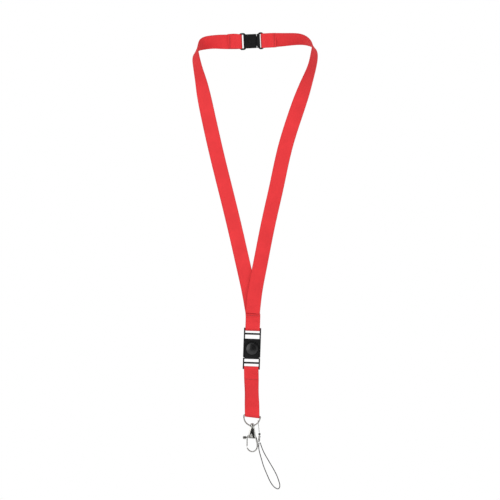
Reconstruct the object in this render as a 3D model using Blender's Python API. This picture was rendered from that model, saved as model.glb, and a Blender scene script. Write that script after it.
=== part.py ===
"""Neck lanyard in 15 mm ribbon, modelled hanging from the nape.

Breakaway buckle at the nape, push-button buckle at the chest, pendant strap,
D-ring with a swivel trigger hook, and a phone-cord loop.
Metres, +Z up, the wearer's front faces -Y, origin at the middle of the nape.
"""
import math

import bmesh
import bpy
import numpy as np
from mathutils import Euler, Matrix, Vector

MM = 0.001
GAP = 0.35 * MM                  # clearance between neighbouring pieces

# Ribbon
STRAP_WIDTH = 14.6 * MM
STRAP_THICK = 0.9 * MM
PLY_OFFSET = 0.65 * MM           # centre plane of each ply where two lie together
BAR_RADIUS = 0.9 * MM            # every bar that a ribbon is folded round
FOLD_RADIUS = BAR_RADIUS + GAP + STRAP_THICK / 2
TAB_END_X = 23.9 * MM            # folded-back ends at the breakaway buckle
TAB_RISE = 0.8 * MM              # the left tab is sewn on this much high
SEAM_ABOVE_BAR = 15 * MM         # cross seam at the yoke

# Breakaway buckle, centred on the nape, its length along X
NAPE_TILT = math.radians(-2.5)
SAFETY_BAR_X = {-1: 11.9 * MM, 1: 10.9 * MM}       # the plug's eye is the shorter one
SAFETY_BODY = (7.9 * MM, 2.7 * MM, 7.1 * MM)      # half sizes of the closed body
SAFETY_SPLIT_X = 4.6 * MM        # end face of the socket
EYE_HALF_HEIGHT = 8.55 * MM
EYE_RAIL = 0.9 * MM
EYE_DEPTH = 0.9 * MM             # half depth of the strap eyes, along Y

# Push-button buckle, measured down from its top bar
YOKE = Vector((0.6 * MM, -52 * MM, -288 * MM))
BUCKLE_TILT = math.radians(2)
BUCKLE_HALF_WIDTH = 8.65 * MM
BUCKLE_HALF_DEPTH = 3.6 * MM
RAIL_WIDTH = 1.2 * MM
RAIL_HALF_DEPTH = 1.1 * MM
RUNG_HALF_HEIGHT = 0.75 * MM
UPPER_RUNG_Z = -5.0 * MM
SOCKET_TOP_Z = -9.9 * MM
SOCKET_END_Z = -28.7 * MM
BUTTON_Z = -20.1 * MM
NOTCH_RADIUS = 7.6 * MM
COLLAR_RADIUS = 7.2 * MM
BUTTON_HOLE_RADIUS = 6.3 * MM
BUTTON_RADIUS = 5.9 * MM
BUTTON_PROUD = 1.3 * MM
SHOULDER_END_Z = -30.2 * MM
LOWER_RUNG_Z = -33.7 * MM
LOWER_BAR_Z = -39.5 * MM

# Pendant and D-ring
RING_BAR = Vector((0.2 * MM, -52 * MM, -374.8 * MM))
RING_TILT = math.radians(7)
RING_WIRE = 0.65 * MM            # wire radius
RING_HALF_WIDTH = 8.2 * MM
RING_DROP = 10.0 * MM
RING_CORNER = 0.8 * MM
LINK_PLACE = 34                  # degrees round the bow, where the phone loop hangs
PENDANT_TWIST = math.radians(24)
HUB_RADIUS = 2.3 * MM
HUB_HALF_HEIGHT = 1.2 * MM
STEM_RADIUS = 0.9 * MM
HEAD_RADIUS = 1.7 * MM

# Hook, measured from the middle of the hub
HOOK_HALF_DEPTH = 1.9 * MM
CLAW_RADIUS = (0.75 * MM, 1.25 * MM)               # in the hook's plane, along Y
SLOT_HALF_DEPTH = 1.05 * MM
GATE_HALF_DEPTH = 0.7 * MM
PIN_RADIUS = 0.65 * MM
PIN_POINT = (-2.1 * MM, -8.9 * MM)

# Phone loop
LINK_WIRE = 0.3 * MM
CRIMP_RADIUS = 1.0 * MM
CORD_DIAMETER = 0.9 * MM

# Middle line of each half of the neck ribbon from the breakaway buckle to the
# yoke: place in millimetres, then the direction of the edge that is uppermost
# at the nape and innermost on the chest.
LEFT_RUN = [
    ((-17, 0.7, -0.7), (0.0, 0.0, 1.0)),
    ((-25, 0.9, -0.7), (0.0, -0.05, 1.0)),
    ((-36, 2.5, -0.7), (-0.03, -0.34, 0.93)),
    ((-43, 3.8, -1.2), (-0.04, -0.45, 0.89)),
    ((-50, 3.0, -3.0), (0.0, -0.57, 0.82)),
    ((-54.6, 0.4, -7.0), (0.14, -0.84, 0.54)),
    ((-56.5, -2.6, -13), (0.38, -0.86, 0.36)),
    ((-55.5, -5.5, -21), (0.5, -0.81, 0.3)),
    ((-53.6, -8.2, -30), (0.59, -0.75, 0.3)),
    ((-51.0, -11, -41), (0.75, -0.6, 0.28)),
    ((-47.9, -14, -56), (0.91, -0.32, 0.26)),
    ((-42.4, -19, -82), (0.96, -0.1, 0.25)),
    ((-34.9, -26, -115), (0.97, 0.0, 0.24)),
    ((-25.5, -33, -153), (0.97, 0.0, 0.24)),
    ((-16.3, -40, -191), (0.97, 0.0, 0.23)),
    ((-7.9, -47.5, -228), (0.97, 0.0, 0.22)),
    ((-2.7, -50.9, -252), (1.0, 0.0, 0.15)),
    ((0.6, -51.35, -271), (1.0, 0.0, -0.04)),
]
RIGHT_RUN = [
    ((17, 0.7, 0.8), (0.0, -0.05, 1.0)),
    ((25, 0.9, 1.2), (0.0, -0.3, 0.95)),
    ((36, 2.8, 1.7), (0.05, -0.5, 0.87)),
    ((43, 4.2, 2.0), (0.08, -0.58, 0.81)),
    ((50, 5.0, 1.4), (0.1, -0.7, 0.7)),
    ((57.2, 4.8, -1.6), (0.0, -0.87, 0.48)),
    ((61.8, 3.2, -6.0), (-0.24, -0.92, 0.32)),
    ((62.5, 0.5, -13), (-0.44, -0.86, 0.25)),
    ((61.0, -2.0, -22), (-0.52, -0.82, 0.22)),
    ((57.4, -4.5, -34), (-0.65, -0.72, 0.24)),
    ((52.4, -7.5, -48), (-0.83, -0.48, 0.28)),
    ((43.3, -13, -74), (-0.95, -0.06, 0.3)),
    ((33.1, -20, -107), (-0.97, 0.0, 0.26)),
    ((24.7, -28, -145), (-0.97, 0.0, 0.22)),
    ((16.2, -36.5, -183), (-0.97, -0.12, 0.22)),
    ((7.7, -48.5, -226), (-0.97, -0.1, 0.2)),
    ((3.2, -52.4, -250), (-1.0, 0.0, 0.15)),
    ((0.6, -52.65, -272.4), (-1.0, 0.0, 0.04)),
]

# Phone cord from the crimp round the loop and back, in millimetres from the
# D-ring's bar: a drop shape that leans to the wearer's left.
CORD_ROUTE = [
    (6.75, -4.5, -26.9), (6.5, -4.8, -30.5), (6.8, -5.0, -34.0), (7.8, -5.2, -38.3),
    (9.3, -5.4, -43.5), (10.8, -5.5, -48.6), (12.7, -5.6, -53.8), (14.9, -5.7, -59.0),
    (17.2, -5.8, -64.2), (20.2, -5.9, -69.2), (23.5, -6.0, -72.3), (26.2, -6.0, -73.0),
    (27.5, -6.0, -70.9), (27.2, -5.9, -67.4), (25.4, -5.8, -61.8), (22.0, -5.7, -54.6),
    (18.4, -5.5, -48.4), (14.3, -5.3, -41.4), (11.0, -5.1, -35.2), (9.0, -4.8, -30.0),
    (7.95, -4.5, -26.9),
]


# ---------------------------------------------------------------- tools

def clear_scene():
    for item in list(bpy.data.objects):
        bpy.data.objects.remove(item, do_unlink=True)


def material(name, colour, roughness, metallic=0.0):
    mat = bpy.data.materials.new(name)
    mat.use_nodes = True
    shader = mat.node_tree.nodes["Principled BSDF"]
    shader.inputs["Base Color"].default_value = (*colour, 1.0)
    shader.inputs["Roughness"].default_value = roughness
    shader.inputs["Metallic"].default_value = metallic
    return mat


def new_object(name, mesh, mat=None, parent=None, smooth=None):
    item = bpy.data.objects.new(name, mesh)
    bpy.context.scene.collection.objects.link(item)
    item.parent = parent
    if mat:
        mesh.materials.append(mat)
    if smooth is not None:
        mesh.shade_smooth()
        mesh.set_sharp_from_angle(angle=math.radians(smooth))
    return item


def empty(name, location=(0, 0, 0), tilt=0.0, parent=None):
    item = bpy.data.objects.new(name, None)
    bpy.context.scene.collection.objects.link(item)
    item.location = location
    item.rotation_euler = (0, tilt, 0)
    item.parent = parent
    return item


def mesh_of(name, verts, faces):
    mesh = bpy.data.meshes.new(name)
    mesh.from_pydata([tuple(v) for v in verts], [], faces)
    bm = bmesh.new()
    bm.from_mesh(mesh)
    bmesh.ops.recalc_face_normals(bm, faces=bm.faces)
    bm.to_mesh(mesh)
    bm.free()
    mesh.update()
    return mesh


def box(name, low, high):
    corners = [(x, y, z) for x in (low[0], high[0]) for y in (low[1], high[1])
               for z in (low[2], high[2])]
    faces = [(0, 1, 3, 2), (4, 6, 7, 5), (0, 4, 5, 1), (2, 3, 7, 6), (0, 2, 6, 4), (1, 5, 7, 3)]
    return mesh_of(name, corners, faces)


def prism(name, outline, low, high):
    """An outline of (x, z) points carried along Y from low to high."""
    count = len(outline)
    verts = [(x, low, z) for x, z in outline] + [(x, high, z) for x, z in outline]
    faces = [tuple(range(count)), tuple(reversed(range(count, 2 * count)))]
    for i in range(count):
        j = (i + 1) % count
        faces.append((i, j, count + j, count + i))
    return mesh_of(name, verts, faces)


def arc(centre, radius, start, end, steps):
    """Points on an arc in the XZ plane; angles in degrees from +X towards +Z."""
    angles = np.radians(np.linspace(start, end, steps + 1))
    return [(centre[0] + radius * math.cos(a), centre[1] + radius * math.sin(a)) for a in angles]


def rounded_rectangle(x0, x1, z0, z1, radius, steps=4):
    corners = [(x1 - radius, z1 - radius, 0), (x0 + radius, z1 - radius, 90),
               (x0 + radius, z0 + radius, 180), (x1 - radius, z0 + radius, 270)]
    points = []
    for x, z, start in corners:
        points += arc((x, z), radius, start, start + 90, steps)
    return points


def turned(name, profile, axis, steps=24, centre=(0, 0, 0)):
    """A solid of revolution: profile is (radius, height) pairs, both ends on the axis."""
    verts = []
    rings = []
    for radius, height in profile:
        if radius == 0:
            rings.append([len(verts)])
            verts.append(Vector((0, 0, height)))
            continue
        ring = []
        for k in range(steps):
            a = 2 * math.pi * k / steps
            ring.append(len(verts))
            verts.append(Vector((radius * math.cos(a), radius * math.sin(a), height)))
        rings.append(ring)
    faces = []
    for lower, upper in zip(rings, rings[1:]):
        for k in range(steps):
            m = (k + 1) % steps
            loop = [lower[k % len(lower)], lower[m % len(lower)],
                    upper[m % len(upper)], upper[k % len(upper)]]
            faces.append(tuple(dict.fromkeys(loop)))
    turn = Vector((0, 0, 1)).rotation_difference(Vector(axis)).to_matrix()
    return mesh_of(name, [turn @ v + Vector(centre) for v in verts], faces)


def bar(half_length, axis, centre):
    """A round bar for a ribbon to be folded round."""
    profile = [(0, -half_length), (BAR_RADIUS, -half_length), (BAR_RADIUS, half_length), (0, half_length)]
    return turned("bar", profile, axis, 12, centre)


def smooth_through(points, count):
    """count points evenly along a natural cubic spline through the given points."""
    points = np.array(points, dtype=float)
    chord = np.linalg.norm(np.diff(points[:, :3], axis=0), axis=1)
    knots = np.concatenate([[0.0], np.cumsum(chord)])
    total = len(points)
    system = np.eye(total)
    right = np.zeros_like(points)
    for i in range(1, total - 1):
        before, after = chord[i - 1], chord[i]
        system[i, i - 1:i + 2] = before, 2 * (before + after), after
        right[i] = 6 * ((points[i + 1] - points[i]) / after - (points[i] - points[i - 1]) / before)
    bend = np.linalg.solve(system, right)
    result = []
    for t in np.linspace(0.0, knots[-1], count):
        i = min(int(np.searchsorted(knots, t, side="right")) - 1, total - 2)
        span = knots[i + 1] - knots[i]
        a = (knots[i + 1] - t) / span
        b = 1.0 - a
        curve = ((a ** 3 - a) * bend[i] + (b ** 3 - b) * bend[i + 1]) * span ** 2 / 6
        result.append(a * points[i] + b * points[i + 1] + curve)
    return np.array(result)


def ribbon(name, frames, width, thick, closed=False):
    """A flat band: frames are (middle point, direction of its first edge)."""
    middles = np.array([f[0] for f in frames], dtype=float)
    edges = np.array([f[1] for f in frames], dtype=float)
    count = len(frames)
    if closed:
        tangents = np.roll(middles, -1, axis=0) - np.roll(middles, 1, axis=0)
    else:
        tangents = np.gradient(middles, axis=0)
    verts = []
    for middle, edge, tangent in zip(middles, edges, tangents):
        tangent = tangent / np.linalg.norm(tangent)
        normal = np.cross(tangent, edge)
        normal /= np.linalg.norm(normal)
        across = np.cross(normal, tangent)
        for side, face in ((1, 1), (1, -1), (-1, -1), (-1, 1)):
            verts.append(middle + across * side * width / 2 + normal * face * thick / 2)
    faces = []
    for i in range(count if closed else count - 1):
        j = (i + 1) % count
        for k in range(4):
            m = (k + 1) % 4
            faces.append((4 * i + k, 4 * j + k, 4 * j + m, 4 * i + m))
    if not closed:
        faces += [(3, 2, 1, 0), tuple(range(4 * count - 4, 4 * count))]
    return mesh_of(name, verts, faces)


def swept(name, path, half_in_plane, half_across, sides=8, closed=False):
    """A wire with an oval section along a path of (x, z) points in the XZ plane."""
    path = np.array(path, dtype=float)
    count = len(path)
    if closed:
        tangents = np.roll(path, -1, axis=0) - np.roll(path, 1, axis=0)
    else:
        tangents = np.gradient(path, axis=0)
    verts = []
    for (x, z), (tx, tz) in zip(path, tangents):
        size = math.hypot(tx, tz)
        nx, nz = tz / size, -tx / size
        for k in range(sides):
            a = 2 * math.pi * (k + 0.5) / sides
            out = math.cos(a) * half_in_plane
            verts.append((x + nx * out, math.sin(a) * half_across, z + nz * out))
    faces = []
    for i in range(count if closed else count - 1):
        j = (i + 1) % count
        for k in range(sides):
            m = (k + 1) % sides
            faces.append((sides * i + k, sides * i + m, sides * j + m, sides * j + k))
    if not closed:
        faces += [tuple(range(sides)), tuple(range(sides * (count - 1), sides * count))]
    return mesh_of(name, verts, faces)


def combine(target, mesh, operation):
    """Join a mesh to the target, or cut it away, as a live Boolean."""
    tool = new_object(target.name + "_tool", mesh, parent=target.parent)
    tool.hide_render = True
    tool.display_type = "WIRE"
    modifier = target.modifiers.new(operation.title(), "BOOLEAN")
    modifier.operation = operation
    modifier.solver = "EXACT"
    modifier.object = tool


def fold(half_gap_out, reach, radius=FOLD_RADIUS, steps=8):
    """A ribbon's turn round a bar at (0, 0): (out, across) points from one ply to the other."""
    start = [(reach, -half_gap_out), (4.2 * MM, -half_gap_out), (2.4 * MM, -radius * 0.8)]
    turn = arc((0, 0), radius, -75, -285, steps)
    return start + turn + [(out, -across) for out, across in reversed(start)]


# ---------------------------------------------------------------- neck ribbon

def run_frames(stations, count):
    rows = [[c * MM for c in place] + [0.02 * c for c in edge] for place, edge in stations]
    return [(row[:3], row[3:]) for row in smooth_through(rows, count)]


def nape_fold(side):
    """Folded-back tab round a bar of the breakaway buckle; side is -1 left, 1 right."""
    turn = Euler((0, NAPE_TILT, 0)).to_matrix()
    frames = []
    for out, across in fold(PLY_OFFSET, TAB_END_X - SAFETY_BAR_X[side])[:-2]:
        rise = TAB_RISE * min(max(out / (4 * MM), 0), 1) if side < 0 and across < 0 else 0
        place = turn @ Vector((side * (SAFETY_BAR_X[side] + out), across, rise))
        frames.append((tuple(place), tuple(turn @ Vector((0, 0, 1)))))
    return frames


def yoke_fold():
    """Round the push-button buckle's top bar, from the rear ply to the front ply."""
    turn = Euler((0, BUCKLE_TILT, 0)).to_matrix()
    frames = []
    for out, across in fold(PLY_OFFSET, SEAM_ABOVE_BAR - GAP):
        place = YOKE + turn @ Vector((0, -across, out))
        frames.append((tuple(place), tuple(turn @ Vector((1, 0, 0)))))
    return frames[1:]


def neck_ribbons(red, thread):
    left = nape_fold(-1) + run_frames(LEFT_RUN, 56) + yoke_fold()
    new_object("neck_strap_left", ribbon("neck_strap_left", left, STRAP_WIDTH, STRAP_THICK), red)
    right = nape_fold(1) + run_frames(RIGHT_RUN, 56)
    new_object("neck_strap_right", ribbon("neck_strap_right", right, STRAP_WIDTH, STRAP_THICK), red)
    seam_half = STRAP_WIDTH / 2 - 1 * MM
    face = PLY_OFFSET + STRAP_THICK / 2 + 0.3 * MM
    yoke = empty("yoke_frame", YOKE, BUCKLE_TILT)
    low = (-seam_half, -face - 0.4 * MM, SEAM_ABOVE_BAR - 2.2 * MM)
    high = (seam_half, -face, SEAM_ABOVE_BAR - 1.2 * MM)
    new_object("yoke_stitching", box("yoke_stitching", low, high), thread, yoke)
    nape = empty("nape_frame", tilt=NAPE_TILT)
    for side, name in ((-1, "tab_stitching_left"), (1, "tab_stitching_right")):
        ends = sorted(side * (TAB_END_X - d * MM) for d in (2.2, 1.2))
        low = (ends[0], -face - 0.4 * MM, -seam_half)
        high = (ends[1], -face, seam_half)
        new_object(name, box(name, low, high), thread, nape)
    return nape


# ---------------------------------------------------------------- breakaway buckle

def strap_eye(side):
    """The loop that a ribbon is folded round, with a bar at its outer end."""
    inner = SAFETY_BODY[0] - 0.5 * MM
    outer = SAFETY_BAR_X[side] + BAR_RADIUS + 0.1 * MM
    xs = sorted((side * inner, side * outer))
    outline = rounded_rectangle(*xs, -EYE_HALF_HEIGHT, EYE_HALF_HEIGHT, 1.6 * MM)
    return prism("eye", outline, -EYE_DEPTH, EYE_DEPTH)


def eye_window(side):
    xs = sorted((side * (SAFETY_BODY[0] + 0.5 * MM), side * (SAFETY_BAR_X[side] + 2 * MM)))
    high = EYE_HALF_HEIGHT - EYE_RAIL
    outline = rounded_rectangle(*xs, -high, high, 0.5 * MM, 2)
    return prism("window", outline, -4 * MM, 4 * MM)


def eye_bar(side):
    return bar(EYE_HALF_HEIGHT - 0.5 * EYE_RAIL, (0, 0, 1), (side * SAFETY_BAR_X[side], 0, 0))


def breakaway_buckle(black, nape):
    half_length, half_depth, half_height = SAFETY_BODY
    low = (-half_length, -half_depth, -half_height)
    body = box("safety_socket", low, (SAFETY_SPLIT_X, half_depth, half_height))
    socket = new_object("safety_socket", body, black, nape)
    combine(socket, strap_eye(-1), "UNION")
    combine(socket, eye_window(-1), "DIFFERENCE")
    combine(socket, eye_bar(-1), "UNION")
    pocket = box("pocket", (-5.2 * MM, -1.5 * MM, -5.2 * MM), (SAFETY_SPLIT_X + MM, 1.5 * MM, 5.2 * MM))
    combine(socket, pocket, "DIFFERENCE")
    start = SAFETY_SPLIT_X + GAP
    body = box("safety_plug", (start, -half_depth, -half_height), (half_length, half_depth, half_height))
    plug = new_object("safety_plug", body, black, nape)
    combine(plug, strap_eye(1), "UNION")
    combine(plug, eye_window(1), "DIFFERENCE")
    combine(plug, eye_bar(1), "UNION")
    for side in (-1, 1):
        prong = [(start + MM, side * 1.6 * MM), (-3.6 * MM, side * 2.4 * MM), (-4.4 * MM, side * 3.2 * MM),
                 (-3.2 * MM, side * 4.8 * MM), (-1.8 * MM, side * 4.1 * MM), (start + MM, side * 4.1 * MM)]
        combine(plug, prism("prong", prong, -1.1 * MM, 1.1 * MM), "UNION")


# ---------------------------------------------------------------- push-button buckle

def add_ladder(half, bar_z, rung_z, body_z):
    """Side rails from the body to a round end bar, with one flat rung between them."""
    side = math.copysign(1, bar_z - body_z)
    end = bar_z + side * (BAR_RADIUS + 0.1 * MM)
    low, high = sorted((body_z - side * MM, end))
    outline = rounded_rectangle(-BUCKLE_HALF_WIDTH, BUCKLE_HALF_WIDTH, low, high, 0.8 * MM, 3)
    combine(half, prism("ladder", outline, -RAIL_HALF_DEPTH, RAIL_HALF_DEPTH), "UNION")
    inside = BUCKLE_HALF_WIDTH - RAIL_WIDTH
    for near, far in ((body_z - side * 0.3 * MM, rung_z - side * RUNG_HALF_HEIGHT),
                      (rung_z + side * RUNG_HALF_HEIGHT, end + side * MM)):
        outline = rounded_rectangle(-inside, inside, *sorted((near, far)), 0.4 * MM, 2)
        combine(half, prism("window", outline, -4 * MM, 4 * MM), "DIFFERENCE")
    combine(half, bar(BUCKLE_HALF_WIDTH - 0.5 * RAIL_WIDTH, (1, 0, 0), (0, 0, bar_z)), "UNION")


def notch(radius, end_z, low, high):
    """An arch open downwards: half round about the button, straight sides below."""
    outline = arc((0, BUTTON_Z), radius, 0, 180, 16) + [(-radius, end_z), (radius, end_z)]
    return prism("notch", outline, low, high)


def upper_half(black, frame):
    width, depth = BUCKLE_HALF_WIDTH, BUCKLE_HALF_DEPTH
    body = box("buckle_socket", (-width, -depth, SOCKET_END_Z), (width, depth, SOCKET_TOP_Z))
    socket = new_object("buckle_socket", body, black, frame)
    add_ladder(socket, 0.0, UPPER_RUNG_Z, SOCKET_TOP_Z)
    pocket = box("pocket", (-6.7 * MM, -2 * MM, SOCKET_END_Z - MM), (6.7 * MM, 1.9 * MM, -12.4 * MM))
    combine(socket, pocket, "DIFFERENCE")
    arch = notch(NOTCH_RADIUS, SOCKET_END_Z - MM, -depth - MM, -1.9 * MM)
    combine(socket, arch, "DIFFERENCE")


def lower_half(black, frame):
    width, depth = BUCKLE_HALF_WIDTH, BUCKLE_HALF_DEPTH
    top = SOCKET_END_Z - GAP
    body = box("buckle_plug", (-width, -depth, SHOULDER_END_Z), (width, depth, top))
    plug = new_object("buckle_plug", body, black, frame)
    add_ladder(plug, LOWER_BAR_Z, LOWER_RUNG_Z, SHOULDER_END_Z)
    combine(plug, notch(COLLAR_RADIUS, top - 0.5 * MM, -depth, -2.3 * MM), "UNION")
    hole = arc((0, BUTTON_Z), BUTTON_HOLE_RADIUS, 0, 360, 28)[:-1]
    combine(plug, prism("hole", hole, -depth - MM, -2.1 * MM), "DIFFERENCE")
    tongue = rounded_rectangle(-6.3 * MM, 6.3 * MM, top - 0.5 * MM, -12.9 * MM, 1.5 * MM, 3)
    combine(plug, prism("tongue", tongue, -0.1 * MM, 1.5 * MM), "UNION")
    window = rounded_rectangle(-3.7 * MM, 3.7 * MM, top + 0.2 * MM, -14.6 * MM, 0.6 * MM, 2)
    combine(plug, prism("window", window, -MM, 3 * MM), "DIFFERENCE")


def button_pieces(black, frame):
    depth = BUCKLE_HALF_DEPTH
    rim = BUTTON_RADIUS
    profile = [(0, -1.95 * MM), (rim, -1.95 * MM), (rim, -depth)]
    for k in range(1, 6):
        a = math.radians(90 * k / 6)
        profile.append((rim * math.cos(a), -depth - BUTTON_PROUD * math.sin(a)))
    profile.append((0, -depth - BUTTON_PROUD))
    mesh = turned("release_button", [(r, -h) for r, h in profile], (0, -1, 0), 28)
    new_object("release_button", mesh, black, frame, 40).location = (0, 0, BUTTON_Z)
    low = (-3.3 * MM, -1.6 * MM, -27.9 * MM)
    new_object("button_tongue", box("button_tongue", low, (3.3 * MM, -0.6 * MM, -15 * MM)), black, frame)


# ---------------------------------------------------------------- pendant strap

def pendant(red, thread):
    top = YOKE + Euler((0, BUCKLE_TILT, 0)).to_matrix() @ Vector((0, 0, LOWER_BAR_Z))
    length = (top - RING_BAR).length
    ring_radius = RING_WIRE + GAP + STRAP_THICK / 2
    spread = [(0.0, FOLD_RADIUS), (0.07, 1.2 * MM), (0.14, PLY_OFFSET), (0.86, PLY_OFFSET),
              (0.93, 1.1 * MM), (1.0, ring_radius)]

    def frame_at(along, side, gap):
        """A point of the front (-1) or rear (1) ply; along runs from 0 at the top to 1."""
        tilt = BUCKLE_TILT + (RING_TILT - BUCKLE_TILT) * min(max(along, 0.0), 1.0)
        twist = PENDANT_TWIST * math.sin(math.pi * min(max(along, 0.0), 1.0)) ** 2
        turn = Matrix.Rotation(tilt, 3, "Y") @ Matrix.Rotation(twist, 3, "Z")
        middle = top.lerp(RING_BAR, along) + turn @ Vector((0, side * gap, 0))
        return tuple(middle), tuple(turn @ Vector((1, 0, 0)))

    def gap_at(along):
        return float(np.interp(along, [s[0] for s in spread], [s[1] for s in spread]))

    places = [0.0, 0.035, 0.07, 0.105, 0.14, 0.25, 0.37, 0.5, 0.63, 0.75, 0.86, 0.895, 0.93, 0.965, 1.0]
    frames = [frame_at(t, -1, gap_at(t)) for t in places]
    for k in range(1, 8):
        a = math.pi * k / 8
        frames.append(frame_at(1 + ring_radius * math.sin(a) / length, -math.cos(a), ring_radius))
    frames += [frame_at(t, 1, gap_at(t)) for t in reversed(places)]
    for k in range(1, 8):
        a = math.pi * k / 8
        frames.append(frame_at(-FOLD_RADIUS * math.sin(a) / length, math.cos(a), FOLD_RADIUS))
    mesh = ribbon("pendant_strap", frames, STRAP_WIDTH, STRAP_THICK, closed=True)
    new_object("pendant_strap", mesh, red)
    seam = [frame_at(t, 1, PLY_OFFSET + STRAP_THICK / 2 + 0.5 * MM) for t in (0.22, 0.24)]
    mesh = ribbon("pendant_stitching", seam, STRAP_WIDTH - 2 * MM, 0.4 * MM)
    new_object("pendant_stitching", mesh, thread)


# ---------------------------------------------------------------- D-ring and hook

def ring_point(degrees):
    """The bow of the D below its bar; 0 at the right end, 90 at the hub."""
    a = math.radians(degrees)
    place = Vector((RING_HALF_WIDTH * math.cos(a), -RING_CORNER - (RING_DROP - RING_CORNER) * math.sin(a)))
    return Matrix.Rotation(-RING_TILT, 2) @ place


def d_ring(chrome):
    frame = empty("ring_frame", RING_BAR)
    turn = Matrix.Rotation(-RING_TILT, 2)
    inner = RING_HALF_WIDTH - RING_CORNER
    path = [turn @ Vector(p) for p in arc((inner, -RING_CORNER), RING_CORNER, 90, 0, 3)]
    path += [ring_point(d) for d in np.linspace(12, 168, 22)]
    path += [turn @ Vector(p) for p in arc((-inner, -RING_CORNER), RING_CORNER, 180, 90, 3)]
    wire = swept("d_ring", path, RING_WIRE, RING_WIRE, 10, closed=True)
    ring = new_object("d_ring", wire, chrome, frame, 40)
    hub_z = -RING_DROP
    profile = [(0, hub_z - HUB_HALF_HEIGHT), (HUB_RADIUS, hub_z - HUB_HALF_HEIGHT),
               (HUB_RADIUS, hub_z + HUB_HALF_HEIGHT), (0, hub_z + HUB_HALF_HEIGHT)]
    combine(ring, turned("hub", profile, (0, 0, 1), 20), "UNION")
    bore = STEM_RADIUS + GAP
    profile = [(0, hub_z - 3 * MM), (bore, hub_z - 3 * MM), (bore, hub_z + 3 * MM), (0, hub_z + 3 * MM)]
    combine(ring, turned("bore", profile, (0, 0, 1), 20), "DIFFERENCE")
    return frame


def hook(chrome, steel, ring_frame):
    frame = empty("hook_frame", (0, 0, -RING_DROP), parent=ring_frame)
    collar = -HUB_HALF_HEIGHT - GAP
    outline = [(-2.3 * MM, collar), (2.3 * MM, collar), (2.7 * MM, -3.5 * MM), (3.9 * MM, -11.0 * MM),
               (4.3 * MM, -13.2 * MM), (3.0 * MM, -13.0 * MM), (-3.0 * MM, -12.6 * MM),
               (-4.2 * MM, -12.4 * MM), (-3.9 * MM, -10.5 * MM), (-2.8 * MM, -3.5 * MM)]
    body = new_object("hook_body", prism("hook_body", outline, -HOOK_HALF_DEPTH, HOOK_HALF_DEPTH),
                      chrome, frame, 35)
    claw = [(3.5, -11.8), (4.3, -14.6), (5.0, -17.4), (5.2, -20.2), (4.6, -22.8), (3.0, -24.9),
            (0.6, -25.9), (-1.9, -25.5), (-4.0, -23.9), (-5.2, -21.8)]
    claw = smooth_through([(x * MM, z * MM, 0) for x, z in claw], 22)[:, :2]
    combine(body, swept("claw", claw, *CLAW_RADIUS, 8), "UNION")
    head = HUB_HALF_HEIGHT + GAP
    profile = [(0, collar - MM), (STEM_RADIUS, collar - MM), (STEM_RADIUS, head), (HEAD_RADIUS, head),
               (HEAD_RADIUS * 0.8, head + 0.8 * MM), (0, head + MM)]
    combine(body, turned("stem", profile, (0, 0, 1), 16), "UNION")
    slot = [(-7 * MM, -5.6 * MM), (0.9 * MM, -5.6 * MM), (1.8 * MM, -8 * MM), (2.4 * MM, -15 * MM),
            (-7 * MM, -15 * MM)]
    combine(body, prism("slot", slot, -SLOT_HALF_DEPTH, SLOT_HALF_DEPTH), "DIFFERENCE")
    hole = arc(PIN_POINT, PIN_RADIUS + GAP, 0, 360, 16)[:-1]
    combine(body, prism("hole", hole, -4 * MM, 4 * MM), "DIFFERENCE")
    pin = prism("gate_pin", arc(PIN_POINT, PIN_RADIUS, 0, 360, 14)[:-1], -1.95 * MM, 1.95 * MM)
    new_object("gate_pin", pin, steel, frame, 40)
    spring = [(-1.6 * MM, -6.0 * MM), (0.4 * MM, -6.0 * MM), (1.3 * MM, -8.2 * MM), (1.5 * MM, -10.6 * MM),
              (1.1 * MM, -10.6 * MM), (0.9 * MM, -8.4 * MM), (0.1 * MM, -6.4 * MM), (-1.6 * MM, -6.4 * MM)]
    new_object("gate_spring", prism("gate_spring", spring, -0.6 * MM, 0.6 * MM), steel, frame)
    pivot = empty("gate_frame", (PIN_POINT[0], 0, PIN_POINT[1]), parent=frame)
    gate = [(0.7, 1.6), (-0.7, 1.6), (-2.3, 0.2), (-3.2, -1.2), (-7.3, -1.6), (-7.5, -2.1), (-7.5, -3.7),
            (-7.0, -4.3), (-3.9, -4.4), (-3.4, -4.9), (-3.6, -8.0), (-3.55, -11.6), (-2.5, -11.9),
            (-2.4, -8.0), (-1.5, -3.2), (0.4, -1.7), (1.5, -0.7), (1.6, 0.7)]
    outline = [(x * MM, z * MM) for x, z in gate]
    lever = new_object("gate_lever", prism("gate_lever", outline, -GATE_HALF_DEPTH, GATE_HALF_DEPTH),
                       chrome, pivot)
    hole = arc((0, 0), PIN_RADIUS + GAP, 0, 360, 16)[:-1]
    combine(lever, prism("hole", hole, -4 * MM, 4 * MM), "DIFFERENCE")
    thumb = box("thumb", (-7.3 * MM, -1.6 * MM, -4.5 * MM), (-3.8 * MM, 1.6 * MM, -1.5 * MM))
    combine(lever, thumb, "UNION")


# ---------------------------------------------------------------- phone loop

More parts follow.
